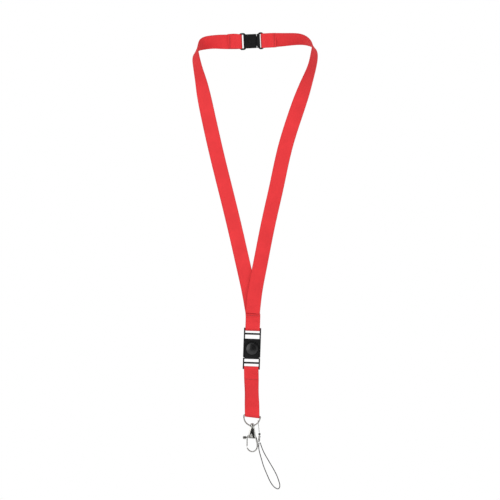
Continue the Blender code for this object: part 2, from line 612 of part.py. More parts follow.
def phone_loop(chrome, black, cord_black, ring_frame):
    hang = ring_point(LINK_PLACE)
    frame = empty("phone_frame", (hang.x, 0, hang.y), parent=ring_frame)
    lean = Euler((math.radians(-12), math.radians(-6), 0)).to_matrix()
    reach, half = 9.4 * MM, 1.9 * MM
    path = arc((0, 0), half, 0, 180, 8) + arc((0, -reach), half * 0.4, 180, 360, 6)
    wire = swept("phone_link", path, LINK_WIRE, LINK_WIRE, 6, closed=True)
    link = new_object("phone_link", wire, chrome, frame, 40)
    link.rotation_euler = (lean @ Matrix.Rotation(math.radians(90), 3, "Z")).to_euler()
    radius = 1.15 * MM
    profile = [(radius * math.sin(a), -radius * math.cos(a)) for a in np.radians(np.linspace(0, 180, 9))]
    profile[0] = (0, -radius)
    profile[-1] = (0, radius)
    bead = new_object("phone_bead", turned("phone_bead", profile, (0, 0, 1), 14), black, frame, 60)
    down = lean @ Vector((0, 0, -1))
    bead.location = down * (reach + half * 0.4 + LINK_WIRE + GAP + radius)
    start = bead.location + down * (radius + GAP)
    exit_point = Vector((0.45 * MM, -4.3 * MM, -19.4 * MM))
    run = exit_point - start
    profile = [(0, 0), (0.75 * MM, 0), (CRIMP_RADIUS, 0.4 * MM), (CRIMP_RADIUS, run.length - 0.4 * MM),
               (0.8 * MM, run.length), (0, run.length)]
    crimp = new_object("phone_crimp", turned("phone_crimp", profile, run.normalized(), 14), chrome, frame, 40)
    crimp.location = start
    curve = bpy.data.curves.new("phone_cord", "CURVE")
    curve.dimensions = "3D"
    curve.bevel_depth = CORD_DIAMETER / 2
    curve.bevel_resolution = 2
    curve.use_fill_caps = True
    spline = curve.splines.new("POLY")
    points = smooth_through([[c * MM for c in p] for p in CORD_ROUTE], 56)
    spline.points.add(len(points) - 1)
    for slot, place in zip(spline.points, points):
        slot.co = (*place, 1.0)
    curve.materials.append(cord_black)
    cord = bpy.data.objects.new("phone_cord", curve)
    bpy.context.scene.collection.objects.link(cord)
    cord.parent = ring_frame


def build():
    clear_scene()
    red = material("red_ribbon", (0.72, 0.045, 0.05), 0.75)
    thread = material("red_thread", (0.6, 0.03, 0.04), 0.8)
    black = material("black_plastic", (0.012, 0.012, 0.012), 0.4)
    chrome = material("chrome", (0.8, 0.8, 0.8), 0.12, 1.0)
    steel = material("spring_steel", (0.5, 0.5, 0.52), 0.3, 1.0)
    cord_black = material("cord_black", (0.03, 0.03, 0.03), 0.6)
    nape = neck_ribbons(red, thread)
    breakaway_buckle(black, nape)
    buckle = empty("buckle_frame", YOKE, BUCKLE_TILT)
    upper_half(black, buckle)
    lower_half(black, buckle)
    button_pieces(black, buckle)
    pendant(red, thread)
    ring = d_ring(chrome)
    hook(chrome, steel, ring)
    phone_loop(chrome, black, cord_black, ring)
    bpy.context.view_layer.update()


build()
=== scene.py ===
"""Looks of the neck lanyard: woven ribbons, stitching, moulded buckles, plated metal, phone cord.

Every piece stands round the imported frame, in metres, +Z up, the wearer's front towards -Y.
"""
from math import copysign, cos, pi, radians, sin, sqrt

import bmesh
import bpy
import numpy as np
from mathutils import Euler, Matrix, Vector


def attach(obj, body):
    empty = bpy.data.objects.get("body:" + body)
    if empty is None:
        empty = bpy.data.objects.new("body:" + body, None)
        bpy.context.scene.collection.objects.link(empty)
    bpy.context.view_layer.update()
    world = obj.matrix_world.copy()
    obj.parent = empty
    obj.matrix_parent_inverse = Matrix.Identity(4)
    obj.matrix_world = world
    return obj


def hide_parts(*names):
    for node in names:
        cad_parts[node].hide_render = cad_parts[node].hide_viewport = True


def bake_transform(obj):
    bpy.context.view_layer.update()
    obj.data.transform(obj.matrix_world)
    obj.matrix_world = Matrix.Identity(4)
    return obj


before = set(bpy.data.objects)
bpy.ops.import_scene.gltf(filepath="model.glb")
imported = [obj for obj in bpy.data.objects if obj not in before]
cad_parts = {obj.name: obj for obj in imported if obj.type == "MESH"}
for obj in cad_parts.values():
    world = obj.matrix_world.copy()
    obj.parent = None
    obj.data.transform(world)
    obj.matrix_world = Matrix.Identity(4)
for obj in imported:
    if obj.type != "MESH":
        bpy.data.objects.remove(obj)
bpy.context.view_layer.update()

MM = 0.001
GAP = 0.35 * MM
JOIN, CUT = "UNION", "DIFFERENCE"

# Ribbon
STRAP_WIDTH = 14.6 * MM
STRAP_THICK = 0.9 * MM
PLY_OFFSET = 0.65 * MM
BAR_RADIUS = 0.9 * MM
FOLD_RADIUS = BAR_RADIUS + GAP + STRAP_THICK / 2
TAB_END_X = 23.9 * MM
TAB_RISE = 0.8 * MM  # the left tab is sewn on this much too high
SEAM_ABOVE_BAR = 15 * MM
RIBBON_STEP = 1.1 * MM  # spacing of the ribbon's cross rows
SEAM_INSET = 1.7 * MM  # from the tab's end to its row of stitches
STITCH_LENGTH = 2.1 * MM
STITCH_REACH = STRAP_WIDTH / 2 - 0.9 * MM  # half a seam's length
STITCH_FACE = PLY_OFFSET + 0.48 * STRAP_THICK  # a seam's thread lies on this face of two plies
THREAD_RADIUS = 0.2 * MM
RIPPLE_FREE = (30 * MM, 75 * MM)  # a neck ribbon's ends that hang without ripples
RIPPLE_GROWS = (40 * MM, 50 * MM)  # over these lengths the ripples reach full height

# Breakaway buckle
NAPE_TILT = radians(-2.5)
SAFETY_BAR_X = {-1: 11.9 * MM, 1: 10.9 * MM}  # on the socket's side and the plug's
SAFETY_BODY = (7.9 * MM, 2.7 * MM, 7.1 * MM)  # half sizes
SOCKET_LONGER = 0.6 * MM
PLUG_LONGER = 0.2 * MM
SAFETY_SPLIT_X = 4.6 * MM
EYE_HALF_HEIGHT = 8.55 * MM
EYE_CORNER = 1.6 * MM
POCKET_HALF = 5.2 * MM  # half the width of the socket's pocket
GROOVES_X = (-6.5 * MM, 3.4 * MM)
STUD_X = -1.6 * MM
# One prong of the plug, in millimetres: along the buckle and out from its middle line
PRONG_TIP = [(-3.6, 2.4), (-4.4, 3.2), (-3.2, 4.8), (-1.8, 4.1)]
PRONG_ROOT = (1.6, 4.1)

# Push-button buckle
YOKE = Vector((0.6 * MM, -52 * MM, -288 * MM))
BUCKLE_TILT = radians(2)
BUCKLE_HALF_WIDTH = 8.65 * MM
BUCKLE_HALF_DEPTH = 3.6 * MM
RAIL_WIDTH = 1.4 * MM
RAIL_HALF_DEPTH = 1.1 * MM
RUNG_HALF_HEIGHT = 0.9 * MM
UPPER_RUNG_Z = -5.0 * MM
SOCKET_TOP_Z = -9.9 * MM
SOCKET_END_Z = -28.7 * MM
CAVITY = (6.7 * MM, 2.0 * MM, 1.9 * MM)  # half width, reach to the front and to the rear
CAVITY_TOP_Z = -12.4 * MM
NOTCH_BACK = 1.9 * MM
BUTTON_Z = -20.1 * MM
NOTCH_RADIUS = 7.6 * MM
COLLAR_RADIUS = 7.2 * MM
BUTTON_HOLE_RADIUS = 6.3 * MM
BUTTON_RADIUS = 5.9 * MM
BUTTON_PROUD = 1.3 * MM
BUTTON_BACK = 1.95 * MM
SHOULDER_END_Z = -30.2 * MM
LOWER_RUNG_Z = -34.0 * MM
LOWER_BAR_Z = -39.5 * MM

# Pendant and D-ring
RING_BAR = Vector((0.2 * MM, -52 * MM, -374.8 * MM))
RING_TILT = radians(7)
RING_WIRE = 0.65 * MM
RING_HALF_WIDTH = 8.2 * MM
RING_DROP = 10.0 * MM
RING_CORNER = 0.8 * MM
LINK_PLACE = 34  # degrees round the D-ring, 90 at its lowest
PENDANT_TWIST = radians(24)
PENDANT_SEAM = 0.23  # share of the way from the buckle's bar to the D-ring's
HUB_RADIUS = 2.3 * MM
HUB_HALF_HEIGHT = 1.2 * MM
STEM_RADIUS = 0.9 * MM
HEAD_RADIUS = 1.7 * MM

# Hook, measured from the middle of the hub; its outlines and lines are (x, z) in millimetres
HOOK_HALF_DEPTH = 1.9 * MM
CLAW_RADIUS = (0.75 * MM, 1.25 * MM)
SLOT_HALF_DEPTH = 1.05 * MM
GATE_HALF_DEPTH = 0.7 * MM
FACET = radians(27)  # slope of the hook's side facets
PIN_RADIUS = 0.65 * MM
PIN_POINT = (-2.1 * MM, -8.9 * MM)
HOOK_SIDES = [(2.7, -3.5), (3.9, -11.0), (4.3, -13.2), (3.0, -13.0), (-3.0, -12.6), (-4.2, -12.4),
              (-3.9, -10.5), (-2.8, -3.5)]
HOOK_NECK = 2.3 * MM  # half the body's width at its top
HOOK_SLOT = [(-7, -5.6), (0.9, -5.6), (1.8, -8), (2.4, -15), (-7, -15)]
RECESS = [(-1.0, -7.4, 0.45), (0.9, -11.8, 0.02), (-2.8, -11.8, 0.64)]  # the third is its depth
FACET_LINES = [(-1, -0.9, -4.0), (1, -0.4, 2.7)]  # side, x at FACET_Z's first and at its second
FACET_Z = (-2.6, -12.8)
CLAW_LINE = [(3.3, -11.0), (4.0, -13.0), (4.5, -15.2), (5.0, -17.6), (5.2, -20.2), (4.6, -22.8),
             (3.0, -24.9), (0.6, -25.9), (-1.9, -25.5), (-4.0, -23.9), (-5.2, -21.8)]
LEAF_LINE = [(-1.6, -6.2), (-0.6, -6.2), (0.2, -6.25), (0.75, -7.1), (1.1, -8.3), (1.28, -9.4),
             (1.3, -10.5)]
# Gate, measured from its pin
GATE_DISC = 1.6 * MM
GATE_ARM = [(-0.9, -0.2), (-2.3, -1.6), (-2.9, -4.0), (-3.0, -8.0), (-3.1, -12.0)]
GATE_NECK = [(-2.6, -2.7), (-4.8, -2.9)]
THUMB = (-7.3 * MM, -3.8 * MM, -4.5 * MM, -1.5 * MM)

# Phone loop
LINK_WIRE = 0.3 * MM
LINK_REACH = 9.4 * MM
LINK_HALF = 1.9 * MM
BEAD_RADIUS = 1.15 * MM
CRIMP_RADIUS = 1.0 * MM
CRIMP_END = Vector((0.45 * MM, -4.3 * MM, -19.4 * MM))  # from the link's place on the ring
CORD_DIAMETER = 0.9 * MM

# Weave and studio
WARP_PITCH = 0.42 * MM
WEFT_PITCH = 0.55 * MM
CAMERA_DISTANCE = 24.0
PICTURE_WIDTH = 0.5
AIM = Vector((-2 * MM, -40 * MM, -209.2 * MM))
FLOOR_Z = -0.52

# Middle line of each half of the neck ribbon from the breakaway buckle to the yoke, in
# millimetres, and the direction of the edge that is uppermost at the nape
LEFT_RUN = [
    ((-17, 0.7, -0.7), (0, 0, 1)),
    ((-25, 0.9, -0.7), (0, -0.05, 1)),
    ((-36, 2.5, -0.7), (-0.03, -0.34, 0.93)),
    ((-43, 3.8, -1.2), (-0.04, -0.45, 0.89)),
    ((-50, 3, -3), (0, -0.57, 0.82)),
    ((-54.6, 0.4, -7), (0.14, -0.84, 0.54)),
    ((-56.5, -2.6, -13), (0.38, -0.86, 0.36)),
    ((-55.5, -5.5, -21), (0.5, -0.81, 0.3)),
    ((-53.6, -8.2, -30), (0.59, -0.75, 0.3)),
    ((-51, -11, -41), (0.75, -0.6, 0.28)),
    ((-47.9, -14, -56), (0.91, -0.32, 0.26)),
    ((-42.4, -19, -82), (0.96, -0.1, 0.25)),
    ((-34.9, -26, -115), (0.97, 0, 0.24)),
    ((-25.5, -33, -153), (0.97, 0, 0.24)),
    ((-16.3, -40, -191), (0.97, 0, 0.23)),
    ((-7.9, -47.5, -228), (0.97, 0, 0.22)),
    ((-2.7, -50.9, -252), (1, 0, 0.15)),
    ((0.6, -51.35, -271), (1, 0, -0.04)),
]
RIGHT_RUN = [
    ((17, 0.7, 0.8), (0, -0.05, 1)),
    ((25, 0.9, 1.2), (0, -0.3, 0.95)),
    ((36, 2.8, 1.7), (0.05, -0.5, 0.87)),
    ((43, 4.2, 2), (0.08, -0.58, 0.81)),
    ((50, 5, 1.4), (0.1, -0.7, 0.7)),
    ((57.2, 4.8, -1.6), (0, -0.87, 0.48)),
    ((61.8, 3.2, -6), (-0.24, -0.92, 0.32)),
    ((62.5, 0.5, -13), (-0.44, -0.86, 0.25)),
    ((61, -2, -22), (-0.52, -0.82, 0.22)),
    ((57.4, -4.5, -34), (-0.65, -0.72, 0.24)),
    ((52.4, -7.5, -48), (-0.83, -0.48, 0.28)),
    ((43.3, -13, -74), (-0.95, -0.06, 0.3)),
    ((33.1, -20, -107), (-0.97, 0, 0.26)),
    ((24.7, -28, -145), (-0.97, 0, 0.22)),
    ((16.2, -36.5, -183), (-0.97, -0.12, 0.22)),
    ((7.7, -48.5, -226), (-0.97, -0.1, 0.2)),
    ((3.2, -52.4, -250), (-1, 0, 0.15)),
    ((0.6, -52.65, -272.4), (-1, 0, 0.04)),
]

# Phone cord from the crimp round the loop and back, in millimetres from the D-ring's bar
CORD_ROUTE = [
    (6.75, -4.5, -26.9), (6.5, -4.8, -30.5), (6.8, -5.0, -34.0), (7.8, -5.2, -38.3),
    (9.3, -5.4, -43.5), (10.8, -5.5, -48.6), (12.7, -5.6, -53.8), (14.9, -5.7, -59.0),
    (17.2, -5.8, -64.2), (20.2, -5.9, -69.2), (23.5, -6.0, -72.3), (26.2, -6.0, -73.0),
    (27.5, -6.0, -70.9), (27.2, -5.9, -67.4), (25.4, -5.8, -61.8), (22.0, -5.7, -54.6),
    (18.4, -5.5, -48.4), (14.3, -5.3, -41.4), (11.0, -5.1, -35.2), (9.0, -4.8, -30.0),
    (7.95, -4.5, -26.9),
]


# ---------------- material nodes

def new_material(name):
    """A material, its node tree and its shader."""
    mat = bpy.data.materials.new(name)
    mat.use_nodes = True
    shader = mat.node_tree.nodes["Principled BSDF"]
    return mat, mat.node_tree, shader


def calc(tree, operation, first, second=0.5, third=None):
    """One Math node; each input is a number or another node's output."""
    node = tree.nodes.new("ShaderNodeMath")
    node.operation = operation
    for socket, value in zip(node.inputs, (first, second, third)):
        if isinstance(value, bpy.types.NodeSocket):
            tree.links.new(value, socket)
        elif value is not None:
            socket.default_value = value
    return node.outputs[0]


def noise(tree, vector, scale, detail):
    node = tree.nodes.new("ShaderNodeTexNoise")
    node.inputs["Scale"].default_value = scale
    node.inputs["Detail"].default_value = detail
    node.inputs["Roughness"].default_value = 0.55
    tree.links.new(vector, node.inputs["Vector"])
    return node.outputs["Fac"]


def coloured(tree, shader, value, dark, light):
    """The base colour, from dark where value is 0 to light where it is 1."""
    ramp = tree.nodes.new("ShaderNodeValToRGB")
    ramp.color_ramp.elements[0].color = (*dark, 1)
    ramp.color_ramp.elements[1].color = (*light, 1)
    tree.links.new(value, ramp.inputs["Fac"])
    tree.links.new(ramp.outputs["Color"], shader.inputs["Base Color"])


def roughened(tree, shader, value, low, high):
    """The roughness, from low where value is 0 to high where it is 1."""
    node = tree.nodes.new("ShaderNodeMapRange")
    node.inputs["To Min"].default_value = low
    node.inputs["To Max"].default_value = high
    tree.links.new(value, node.inputs["Value"])
    tree.links.new(node.outputs["Result"], shader.inputs["Roughness"])


def bump(tree, shader, height, strength, distance):
    node = tree.nodes.new("ShaderNodeBump")
    node.inputs["Strength"].default_value = strength
    node.inputs["Distance"].default_value = distance
    tree.links.new(height, node.inputs["Height"])
    tree.links.new(node.outputs["Normal"], shader.inputs["Normal"])


def own_place(tree):
    return tree.nodes.new("ShaderNodeTexCoord").outputs["Object"]


def ribbon_axes(tree):
    """Metres across and metres along a ribbon or a cord, from its UV map."""
    node = tree.nodes.new("ShaderNodeUVMap")
    node.uv_map = "cloth"
    split = tree.nodes.new("ShaderNodeSeparateXYZ")
    tree.links.new(node.outputs["UV"], split.inputs["Vector"])
    return node.outputs["UV"], split.outputs["X"], split.outputs["Y"]


def wave(tree, value, pitch):
    """A sine of the value, one full wave for each two pitches."""
    return calc(tree, "SINE", calc(tree, "MULTIPLY", value, pi / pitch))


def raised(tree, value):
    """Carries a -1 to 1 value to the range from 0 to 1."""
    return calc(tree, "MULTIPLY_ADD", value, 0.5, 0.5)


def halves(tree, first, second):
    """The mean of two values."""
    return calc(tree, "MULTIPLY_ADD", first, 0.5, calc(tree, "MULTIPLY", second, 0.5))


def woven_ribbon(name, dark, light):
    """Plain weave of satin yarn, with painted shade in the weave's valleys and along both woven
    edges.
    """
    mat, tree, shader = new_material(name)
    place, across, along = ribbon_axes(tree)
    waver = calc(tree, "MULTIPLY", noise(tree, place, scale=420, detail=2), 0.1 * MM)
    weave = calc(tree, "MULTIPLY", wave(tree, calc(tree, "ADD", across, waver), WARP_PITCH),
                 wave(tree, calc(tree, "ADD", along, waver), WEFT_PITCH))
    height = raised(tree, weave)
    tone = calc(tree, "MULTIPLY_ADD", noise(tree, place, scale=60, detail=4), 0.9, -0.12)
    fibre = noise(tree, place, scale=5200, detail=2)
    # painted shade: the outer 0.45 mm of each woven edge is coloured darker, standing in for the
    # shade on the rounded selvedge
    edge = calc(tree, "GREATER_THAN", calc(tree, "ABSOLUTE", across), STRAP_WIDTH / 2 - 0.45 * MM)
    # painted shade: where the weave's height is low, in the valleys between yarns, the colour is
    # darker
    mixed = calc(tree, "MULTIPLY_ADD", height, 0.28, calc(tree, "MULTIPLY", tone, 0.55))
    mixed = calc(tree, "MULTIPLY_ADD", fibre, 0.3, mixed)
    mixed = calc(tree, "SUBTRACT", mixed, calc(tree, "MULTIPLY", edge, 0.42))
    coloured(tree, shader, mixed, dark, light)
    roughened(tree, shader, fibre, 0.55, 0.8)
    shader.inputs["Sheen Weight"].default_value = 0.12
    shader.inputs["Sheen Roughness"].default_value = 0.4
    shader.inputs["Sheen Tint"].default_value = (1.0, 0.62, 0.6, 1)
    shader.inputs["Specular IOR Level"].default_value = 0.3
    bump(tree, shader, height, strength=0.7, distance=0.09 * MM)
    return mat


def sewing_thread(name, dark, light):
    """Twisted polyester thread."""
    mat, tree, shader = new_material(name)
    place, around, along = ribbon_axes(tree)
    twist = wave(tree, calc(tree, "MULTIPLY_ADD", around, 0.7, along), 0.17 * MM)
    height = raised(tree, twist)
    # painted shade: where the twist's height is low, in its grooves, the colour is darker
    mixed = halves(tree, noise(tree, place, scale=3000, detail=2), height)
    coloured(tree, shader, mixed, dark, light)
    roughened(tree, shader, mixed, 0.45, 0.7)
    shader.inputs["Sheen Weight"].default_value = 0.2
    bump(tree, shader, height, strength=0.6, distance=0.05 * MM)
    return mat


def braided_cord(name, dark, light):
    """Fine braid: two crossing sets of strands."""
    mat, tree, shader = new_material(name)
    place, around, along = ribbon_axes(tree)
    one = wave(tree, calc(tree, "ADD", along, around), 0.35 * MM)
    two = wave(tree, calc(tree, "SUBTRACT", along, around), 0.35 * MM)
    height = raised(tree, calc(tree, "MULTIPLY", one, two))
    # painted shade: where the braid's height is low, between the strands, the colour is darker
    mixed = halves(tree, noise(tree, place, scale=2400, detail=3), height)
    coloured(tree, shader, mixed, dark, light)
    roughened(tree, shader, mixed, 0.45, 0.75)
    bump(tree, shader, height, strength=0.8, distance=0.08 * MM)
    return mat


def moulded_plastic(name, rough_low, rough_high, grain, gloss):
    """Black moulding: a fine spark-eroded grain and a faint flow pattern that varies its gloss."""
    mat, tree, shader = new_material(name)
    place = own_place(tree)
    fine = noise(tree, place, scale=5200, detail=3)
    flow = noise(tree, place, scale=190, detail=4)
    tone = calc(tree, "MULTIPLY_ADD", fine, 0.35, calc(tree, "MULTIPLY", flow, 0.6))
    coloured(tree, shader, tone, (0.002, 0.002, 0.0023), (0.010, 0.010, 0.011))
    roughened(tree, shader, flow, rough_low, rough_high)
    shader.inputs["Specular IOR Level"].default_value = gloss
    bump(tree, shader, fine, strength=grain, distance=0.03 * MM)
    return mat


def plated_metal(name, dark, light, rough_low, rough_high, unevenness):
    """Polished plating over a cast or drawn shape: soft unevenness and hairline rubbing."""
    mat, tree, shader = new_material(name)
    place = own_place(tree)
    cast = noise(tree, place, scale=260, detail=3)
    stretch = tree.nodes.new("ShaderNodeMapping")
    stretch.inputs["Scale"].default_value = (900, 900, 9000)
    tree.links.new(place, stretch.inputs["Vector"])
    hair = noise(tree, stretch.outputs["Vector"], scale=1.0, detail=2)
    coloured(tree, shader, cast, dark, light)
    roughened(tree, shader, hair, rough_low, rough_high)
    shader.inputs["Metallic"].default_value = 1.0
    relief = calc(tree, "MULTIPLY_ADD", hair, 0.3, cast)
    bump(tree, shader, relief, strength=unevenness, distance=0.06 * MM)
    return mat


# ---------------- mesh tools

def mesh_of(name, verts, faces, uvs=None):
    """A mesh; uvs gives (u, v) for each corner of each face, in metres."""
    mesh = bpy.data.meshes.new(name)
    mesh.from_pydata([tuple(v) for v in verts], [], faces)
    if uvs:
        layer = mesh.uv_layers.new(name="cloth")
        layer.data.foreach_set("uv", [c for face in uvs for corner in face for c in corner])
    bm = bmesh.new()
    bm.from_mesh(mesh)
    bmesh.ops.recalc_face_normals(bm, faces=bm.faces)
    bm.to_mesh(mesh)
    bm.free()
    mesh.update()
    return mesh


def joined(name, meshes):
    """Several meshes as one, each kept as its own closed body."""
    bm = bmesh.new()
    for mesh in meshes:
        bm.from_mesh(mesh)
    result = bpy.data.meshes.new(name)
    bm.to_mesh(result)
    bm.free()
    return result


def placed(name, data):
    """A new object with this data, in the scene."""
    item = bpy.data.objects.new(name, data)
    bpy.context.scene.collection.objects.link(item)
    return item


def moved(mesh, matrix):
    mesh.transform(matrix)
    return mesh


def piece(name, mesh, mat, body, node, smooth):
    """A finished piece on its body, in place of its CAD node; edges over `smooth` degrees stay
    sharp."""
    item = placed(name, mesh)
    mesh.materials.clear()
    mesh.materials.append(mat)
    mesh.shade_smooth()
    mesh.set_sharp_from_angle(angle=radians(smooth))
    if body:
        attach(item, body)
    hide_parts(node)
    return item


def prism(outline, low, high):
    """An outline in the XZ plane carried along Y from low to high."""
    count = len(outline)
    verts = [(x, low, z) for x, z in outline] + [(x, high, z) for x, z in outline]
    faces = [tuple(range(count)), tuple(reversed(range(count, 2 * count)))]
    for i in range(count):
        j = (i + 1) % count
        faces.append((i, j, count + j, count + i))
    return mesh_of("prism", verts, faces)


def box(low, high):
    outline = [(low[0], low[2]), (high[0], low[2]), (high[0], high[2]), (low[0], high[2])]
    return prism(outline, low[1], high[1])


def three_sided(end):
    """A wedge between two triangles, given as three corners and then the other three."""
    sides = [(0, 1, 2), (5, 4, 3), (0, 3, 4, 1), (1, 4, 5, 2), (2, 5, 3, 0)]
    return mesh_of("wedge", end, sides)


def arc(centre, radius, start, end, steps):
    angles = np.radians(np.linspace(start, end, steps + 1))
    return [(centre[0] + radius * cos(a), centre[1] + radius * sin(a)) for a in angles]


def rounded_rectangle(x0, x1, z0, z1, radius, steps=6):
    corners = [(x1 - radius, z1 - radius, 0), (x0 + radius, z1 - radius, 90),
               (x0 + radius, z0 + radius, 180), (x1 - radius, z0 + radius, 270)]
    points = []
    for x, z, start in corners:
        points += arc((x, z), radius, start, start + 90, steps)
    return points


def turned(profile, axis, steps=48, centre=(0, 0, 0)):
    """A solid of revolution: profile is (radius, height) pairs, both ends on the axis."""
    verts = []
    rings = []
    for radius, height in profile:
        ring = []
        for k in range(steps if radius else 1):
            a = 2 * pi * k / steps
            ring.append(len(verts))
            verts.append(Vector((radius * cos(a), radius * sin(a), height)))
        rings.append(ring)
    faces = []
    for lower, upper in zip(rings, rings[1:]):
        for k in range(steps):
            m = (k + 1) % steps
            loop = [lower[k % len(lower)], lower[m % len(lower)],
                    upper[m % len(upper)], upper[k % len(upper)]]
            faces.append(tuple(dict.fromkeys(loop)))
    turn = Vector((0, 0, 1)).rotation_difference(Vector(axis)).to_matrix()
    return mesh_of("turned", [turn @ v + Vector(centre) for v in verts], faces)


def softened(profile, radius, steps=4):
    """A turned profile with each corner between its two ends rounded off."""
    points = [Vector(p) for p in profile]
    result = [profile[0]]
    for before, corner, after in zip(points, points[1:], points[2:]):
        back, on = before - corner, after - corner
        reach = min(radius, back.length * 0.45, on.length * 0.45)
        start, end = corner + back.normalized() * reach, corner + on.normalized() * reach
        for k in range(steps + 1):
            t = k / steps
            result.append(tuple(start * (1 - t) ** 2 + corner * 2 * t * (1 - t) + end * t ** 2))
    return result + [profile[-1]]


def rod(radius, low, high):
    """The turned profile of a plain cylinder."""
    return [(0, low), (radius, low), (radius, high), (0, high)]


def bar(half_length, axis, centre, radius=BAR_RADIUS):
    return turned(rod(radius, -half_length, half_length), axis, 24, centre)


def run_along(points):
    """The distance along a line from its first point to each point."""
    return np.concatenate([[0.0], np.cumsum(np.linalg.norm(np.diff(points, axis=0), axis=1))])


def directions(points, closed):
    """A line's direction at each point and the distances along it, back to the start if closed."""
    if closed:
        ahead = np.roll(points, -1, axis=0) - np.roll(points, 1, axis=0)
        return ahead, run_along(np.vstack([points, points[:1]]))
    return np.gradient(points, axis=0), run_along(points)


def smooth_through(points, count):
    """count points evenly along a natural cubic spline through the given points."""
    points = np.array(points, dtype=float)
    knots = run_along(points[:, :3])
    chord = np.diff(knots)
    total = len(points)
    system = np.eye(total)
    right = np.zeros_like(points)
    for i in range(1, total - 1):
        before, after = chord[i - 1], chord[i]
        system[i, i - 1:i + 2] = before, 2 * (before + after), after
        right[i] = 6 * ((points[i + 1] - points[i]) / after - (points[i] - points[i - 1]) / before)
    bend = np.linalg.solve(system, right)
    result = []
    for t in np.linspace(0.0, knots[-1], count):
        i = min(int(np.searchsorted(knots, t, side="right")) - 1, total - 2)
        span = knots[i + 1] - knots[i]
        a = (knots[i + 1] - t) / span
        b = 1.0 - a
        curve = ((a ** 3 - a) * bend[i] + (b ** 3 - b) * bend[i + 1]) * span ** 2 / 6
        result.append(a * points[i] + b * points[i + 1] + curve)
    return np.array(result)


def tube(path, radii, sides, closed=False, level=(0, 1, 0)):
    """A round or oval wire along 3-D points; radii is one number or (across, along `level`),
    for the whole wire or for each point."""
    path = np.array(path, dtype=float)
    count = len(path)
    radii = np.array(radii, dtype=float) * np.ones((count, 2))
    tangents, along = directions(path, closed)
    level = np.array(level, dtype=float)
    verts = []
    for place, tangent, (inner, outer) in zip(path, tangents, radii):
        tangent = tangent / np.linalg.norm(tangent)
        first = np.cross(tangent, level)
        first /= np.linalg.norm(first)
        second = np.cross(first, tangent)
        for k in range(sides):
            a = 2 * pi * k / sides
            verts.append(place + first * cos(a) * inner + second * sin(a) * outer)
    faces = []
    uvs = []
    girth = 2 * pi * radii[:, 0].mean() / sides
    for i in range(count if closed else count - 1):
        j = (i + 1) % count
        for k in range(sides):
            m = (k + 1) % sides
            faces.append((sides * i + k, sides * i + m, sides * j + m, sides * j + k))
            uvs.append([(k * girth, along[i]), ((k + 1) * girth, along[i]),
                        ((k + 1) * girth, along[i + 1]), (k * girth, along[i + 1])])
    if not closed:
        for first in (0, sides * (count - 1)):
            faces.append(tuple(range(first, first + sides)))
            uvs.append([(0.0, along[0 if first == 0 else -1])] * sides)
    return mesh_of("tube", verts, faces, uvs)


def built(base, *steps, bevel=0.0, angle=38, segments=3):
    """base joined to, or cut by, each (operation, mesh) in turn, with its edges then rounded."""
    holder = placed("holder", base)
    tools = []
    for operation, mesh in steps:
        tools.append(placed("tool", mesh))
        modifier = holder.modifiers.new("Shape", "BOOLEAN")
        modifier.operation = operation
        modifier.solver = "MANIFOLD"
        modifier.object = tools[-1]
    if steps:
        tidy = holder.modifiers.new("Weld", "WELD")
        tidy.merge_threshold = 0.004 * MM
    if bevel:
        rounding = holder.modifiers.new("Bevel", "BEVEL")
        rounding.width = bevel
        rounding.segments = segments
        rounding.limit_method = "ANGLE"
        rounding.angle_limit = radians(angle)
        rounding.miter_outer = "MITER_ARC"
        rounding.use_clamp_overlap = True
    bpy.context.view_layer.update()
    evaluated = holder.evaluated_get(bpy.context.evaluated_depsgraph_get())
    result = bpy.data.meshes.new_from_object(evaluated)
    for item in [holder, *tools]:
        bpy.data.objects.remove(item, do_unlink=True)
    return result


# ---------------- ribbons and stitches

def section():
    """A ribbon's section: (across, out) points round it, flat, with a rounded woven edge."""
    across = [-1, -0.992, -0.972, -0.94, -0.9, -0.78, -0.45, 0]
    out = [0.3, 0.66, 0.93, 1.0, 0.9, 0.94, 0.96, 0.96]
    half = [(a * STRAP_WIDTH / 2, h * STRAP_THICK / 2) for a, h in zip(across, out)]
    upper = half + [(-a, h) for a, h in reversed(half[:-1])]
    return upper + [(a, -h) for a, h in reversed(upper)]


def ripple(place, across):
    """How far a hanging ribbon's face lies off its run, in millimetres."""
    lift = 0.1 * sin(place * 95 + across * 160) + 0.06 * sin(place * 231 + 1.3)
    return lift + 0.1 * (2 * across / STRAP_WIDTH) ** 2 * sin(place * 61 + 0.7)


